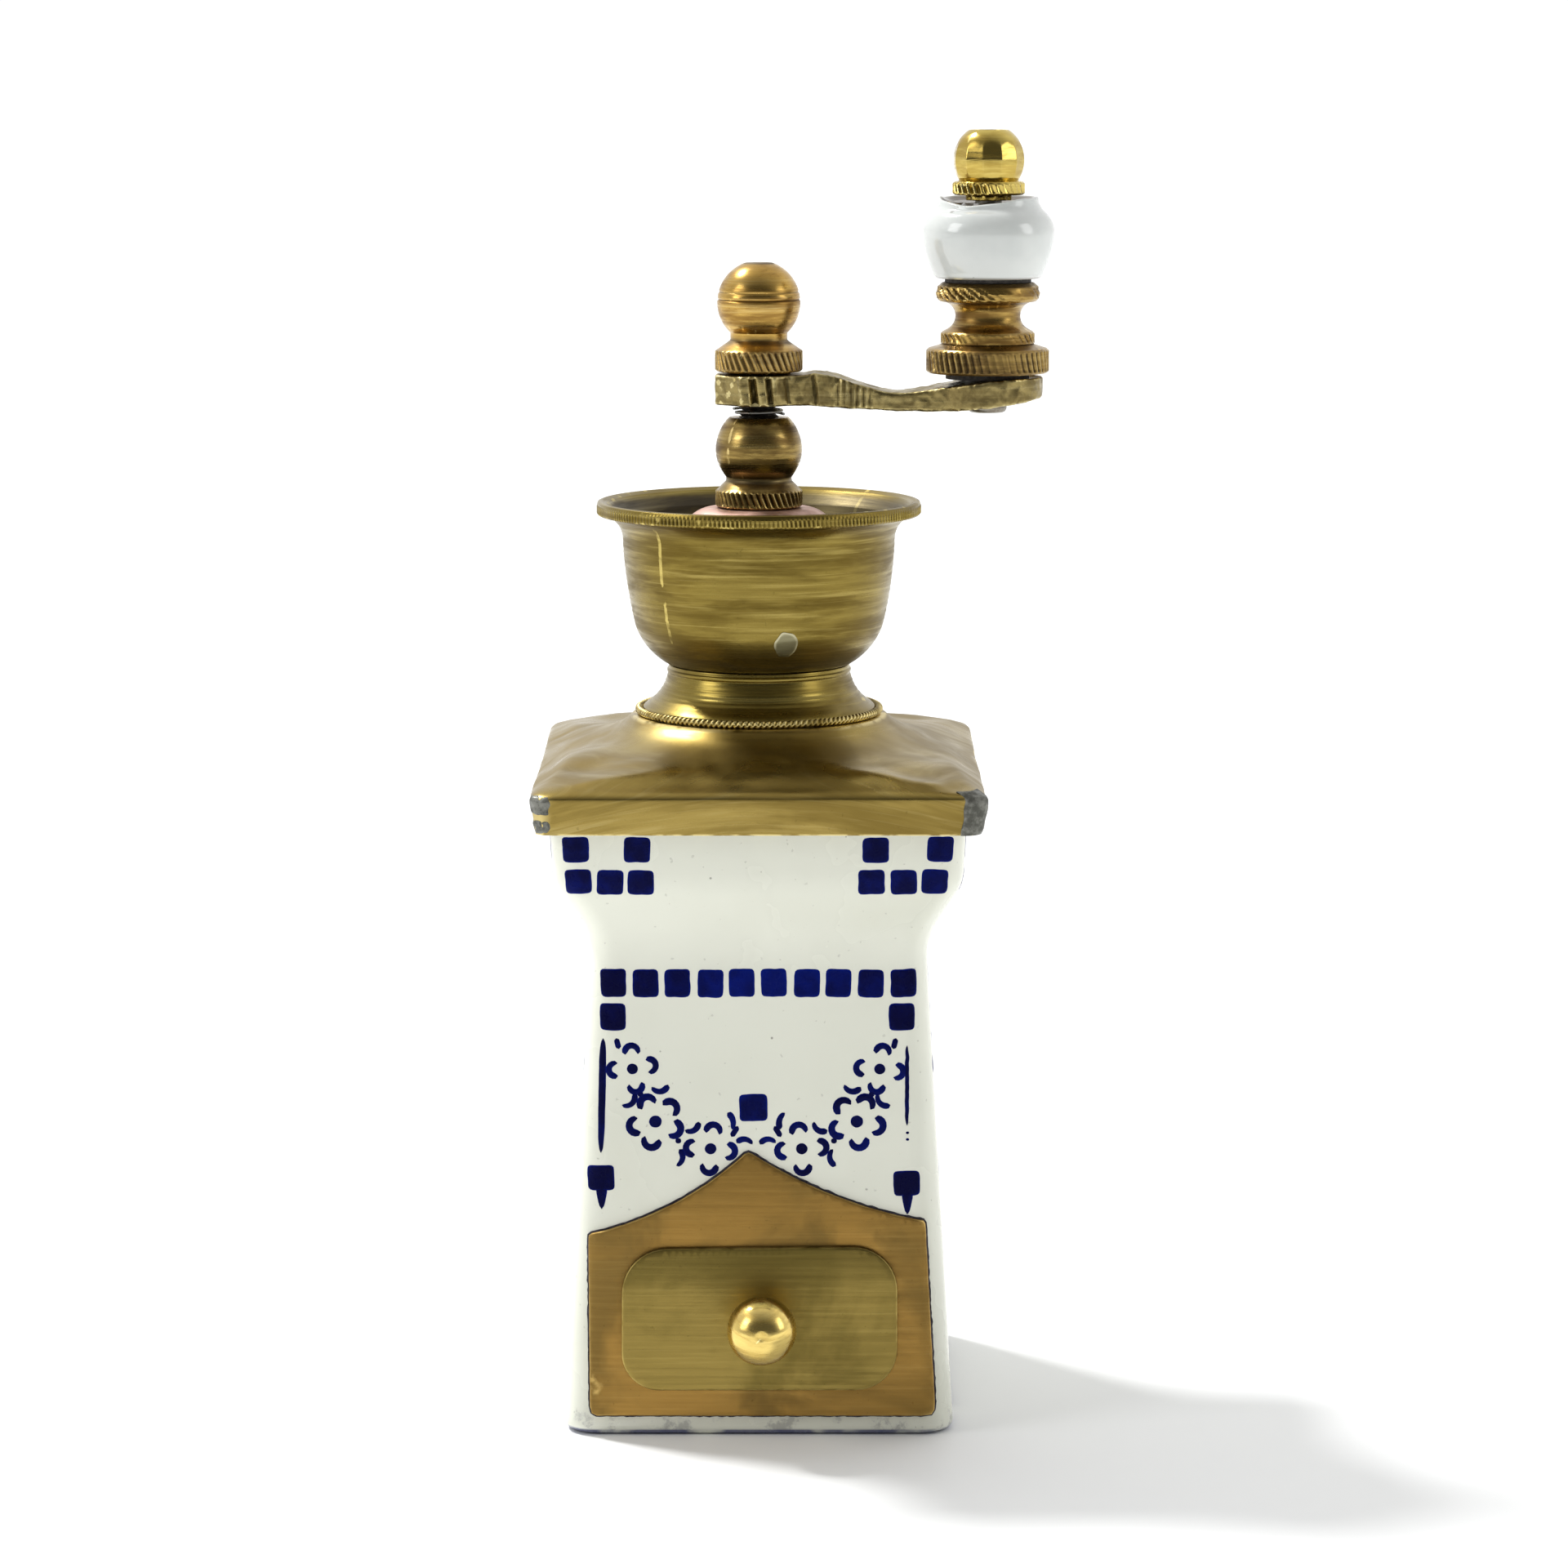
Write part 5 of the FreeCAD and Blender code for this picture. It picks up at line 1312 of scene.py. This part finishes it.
def porcelain_grip():
    """Glazed grip whose upper lip is chipped on one side."""
    low = low_of("handle_bead")
    outline = soft([(2.3, 0), (7.9, 0), (8.3, 0.45, 0.3), *arc((8.3, 0.6), (9.35, 3.2), (9.95, 6.2), 14),
                    *arc((9.95, 6.2), (9.7, 8.2), (8.6, 9.8), 12),
                    *arc((8.6, 9.8), (7.8, 10.8), (7.5, 12.0), 6),
                    (7.2, 12.2, 0.12), (6.2, 11.5), (5.2, 11.2), (2.3, 11.2)], 0.2, 0.4)

    def shape(r, h, a):
        chip = np.exp(-((wrapped(a) + 2.0) / 0.85) ** 2)
        drop = (1.25 * chip + 0.12 * np.sin(5 * a + 1) * np.sin(3 * a)) * smooth_step(h, 9.5, 12.0) * (r > 4)
        r = r + 0.06 * np.sin(2 * a + 0.4) * (r > 7) * smooth_step(h, 1, 5)
        return np.minimum(r, 10.0), h + low - np.maximum(drop, 0)

    # Painted shade inside the top lip and at the foot, where the grip sits on the brass.
    tone = smooth_step(-outline[:, 0], -7.3, -6.9) * smooth_step(outline[:, 1], 11.0, 11.2)
    tone = np.maximum(tone, 0.8 * smooth_step(-outline[:, 1], -0.35, -0.15))
    lathe("porcelain_grip", outline, 160, "grip", PORCELAIN, ("handle_bead",), x=HANDLE_X,
          shape=shape, tone=tone)


def finial():
    """Faceted cap nut: fluted neck, coarse collar and a ball cut with flats."""
    low = low_of("handle_finial")
    outline = soft([(2.0, 0), (3.5, 0), (3.5, 0.8), (5.1, 0.8), (5.45, 1.1), (5.45, 2.45), (5.15, 2.8),
                    (4.3, 3.0),
                    *ball(6.0, 5.38, 4.3, 2.9, 34), (2.8, 10.0), (0, 9.95), (0, 7.0), (2.0, 7.0)], 0.1, 0.3)

    def shape(r, h, a):
        r = grooves(r, h, a, 1.1, 2.5, 5.45, 30, 0.36, 0.01, 0.8, 1.2)
        neck_flutes = 0.35 * (0.5 + 0.5 * np.cos(12 * a)) * smooth_step(-h, -0.75, -0.6) * (r > 2.6)
        facets = 12
        local = (a + 0.2) % (2 * math.pi / facets) - math.pi / facets
        flat = math.cos(math.pi / facets) / np.cos(local)
        share = smooth_step(h, 3.4, 4.6) * smooth_step(-h, -9.3, -7.6)
        r = np.where(r > 2.7, r * (1 + share * (flat - 1) * 1.05), r)
        return r - neck_flutes, h + low

    lathe("faceted_finial", outline, 288, "spindle", FINIAL, ("handle_finial",), x=HANDLE_X,
          shape=shape)


# --- CAD pieces that keep their mesh ----------------------------------------------------

def dress(node, material):
    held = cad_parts[node].data.materials
    held.clear()
    held.append(material)


def dress_cad_nodes():
    for node in ("drawer_box", "drawer_sleeve"):
        dress(node, TIN)
    for node in ("ring_burr", "cone_burr"):
        dress(node, IRON)
    for node in ("lower_bearing_bridge", "lower_bridge_screws", "cone_burr_pin"):
        dress(node, DARK_STEEL)
    # The washers' near-black also serves as painted shade in the gaps between the handle's parts.
    for node in ("handle_washer", "bead_seat_washer"):
        dress(node, FIBRE_AND_SHADE)
    dress("handle_pin", PIN_STEEL)
    dress("drawer_knob_nut", SPRING_STEEL)
    dress("cap_cement_bed", PLASTER)
    dress("hopper_bridge", AGED)
    dress("bridge_bush", NUT)


# --- stage ------------------------------------------------------------------------------

def camera():
    data = bpy.data.cameras.new("camera")
    data.sensor_width = 36.0
    data.lens = 106.3
    cam = bpy.data.objects.new("camera", data)
    cam.location = (3.8 * MM, -700 * MM, 204.3 * MM)
    cam.rotation_euler = (math.radians(90 - 8.93), 0, 0)
    bpy.context.scene.collection.objects.link(cam)
    bpy.context.scene.camera = cam


def lamp(name, kind, location, power, **settings):
    """Lamp that points at the middle of the mill."""
    data = bpy.data.lights.new(name, kind)
    data.energy = power
    for key, value in settings.items():
        setattr(data, key, value)
    made = bpy.data.objects.new(name, data)
    made.location = location
    made.rotation_euler = (Vector((0, 0, 0.1)) - Vector(location)).to_track_quat("-Z", "Y").to_euler()
    bpy.context.scene.collection.objects.link(made)


def studio():
    """White room, darker in front, with a high key lamp from the left behind."""
    scene = bpy.context.scene
    scene.view_settings.view_transform = "Standard"
    world = bpy.data.worlds.new("studio")
    scene.world = world
    world.use_nodes = True
    nodes, links = world.node_tree.nodes, world.node_tree.links
    coords = nodes.new("ShaderNodeTexCoord")
    split = nodes.new("ShaderNodeSeparateXYZ")
    ramp = nodes.new("ShaderNodeMapRange")
    for socket, value in (("From Min", -0.7), ("From Max", 0.3), ("To Min", 0.12), ("To Max", 1.05)):
        ramp.inputs[socket].default_value = value
    links.new(coords.outputs["Generated"], split.inputs[0])
    links.new(split.outputs["Y"], ramp.inputs["Value"])
    links.new(ramp.outputs["Result"], nodes["Background"].inputs["Strength"])
    nodes["Background"].inputs["Color"].default_value = (1, 1, 1, 1)
    lamp("key", "SUN", (-0.43, 0.31, 0.83), 2.7, angle=math.radians(9))
    lamp("window_left", "AREA", (-0.95, -0.42, 0.62), 3.6, shape="RECTANGLE", size=0.4, size_y=0.7)
    lamp("window_right", "AREA", (0.95, -0.3, 0.5), 1.6, shape="RECTANGLE", size=0.35, size_y=0.6)
    mesh = bpy.data.meshes.new("floor")
    reach = 40.0
    mesh.from_pydata([(-reach, -reach, 0), (reach, -reach, 0), (reach, reach, 0), (-reach, reach, 0)], [],
                     [(0, 1, 2, 3)])
    floor = bpy.data.objects.new("floor", mesh)
    scene.collection.objects.link(floor)
    p = Paint("pale_floor")
    mesh.materials.append(p.done(p.mix(p.noise(30, 3), (0.90, 0.91, 0.91), (0.92, 0.925, 0.92)), 0.55,
                                 p.bump(p.noise(600, 3), 0.01, 0.3)))


camera()
studio()
glazed_body()
painting()
front_pieces()
drawer_ball()
pressed_cap()
corner_solder()
neck()
bead_ring()
bowl()
bowl_rivets()
domed_washer()
adjusting_nut()
crank_nut()
springs()
threaded_shaft()
cast_arm()
spool()
porcelain_grip()
finial()
dress_cad_nodes()
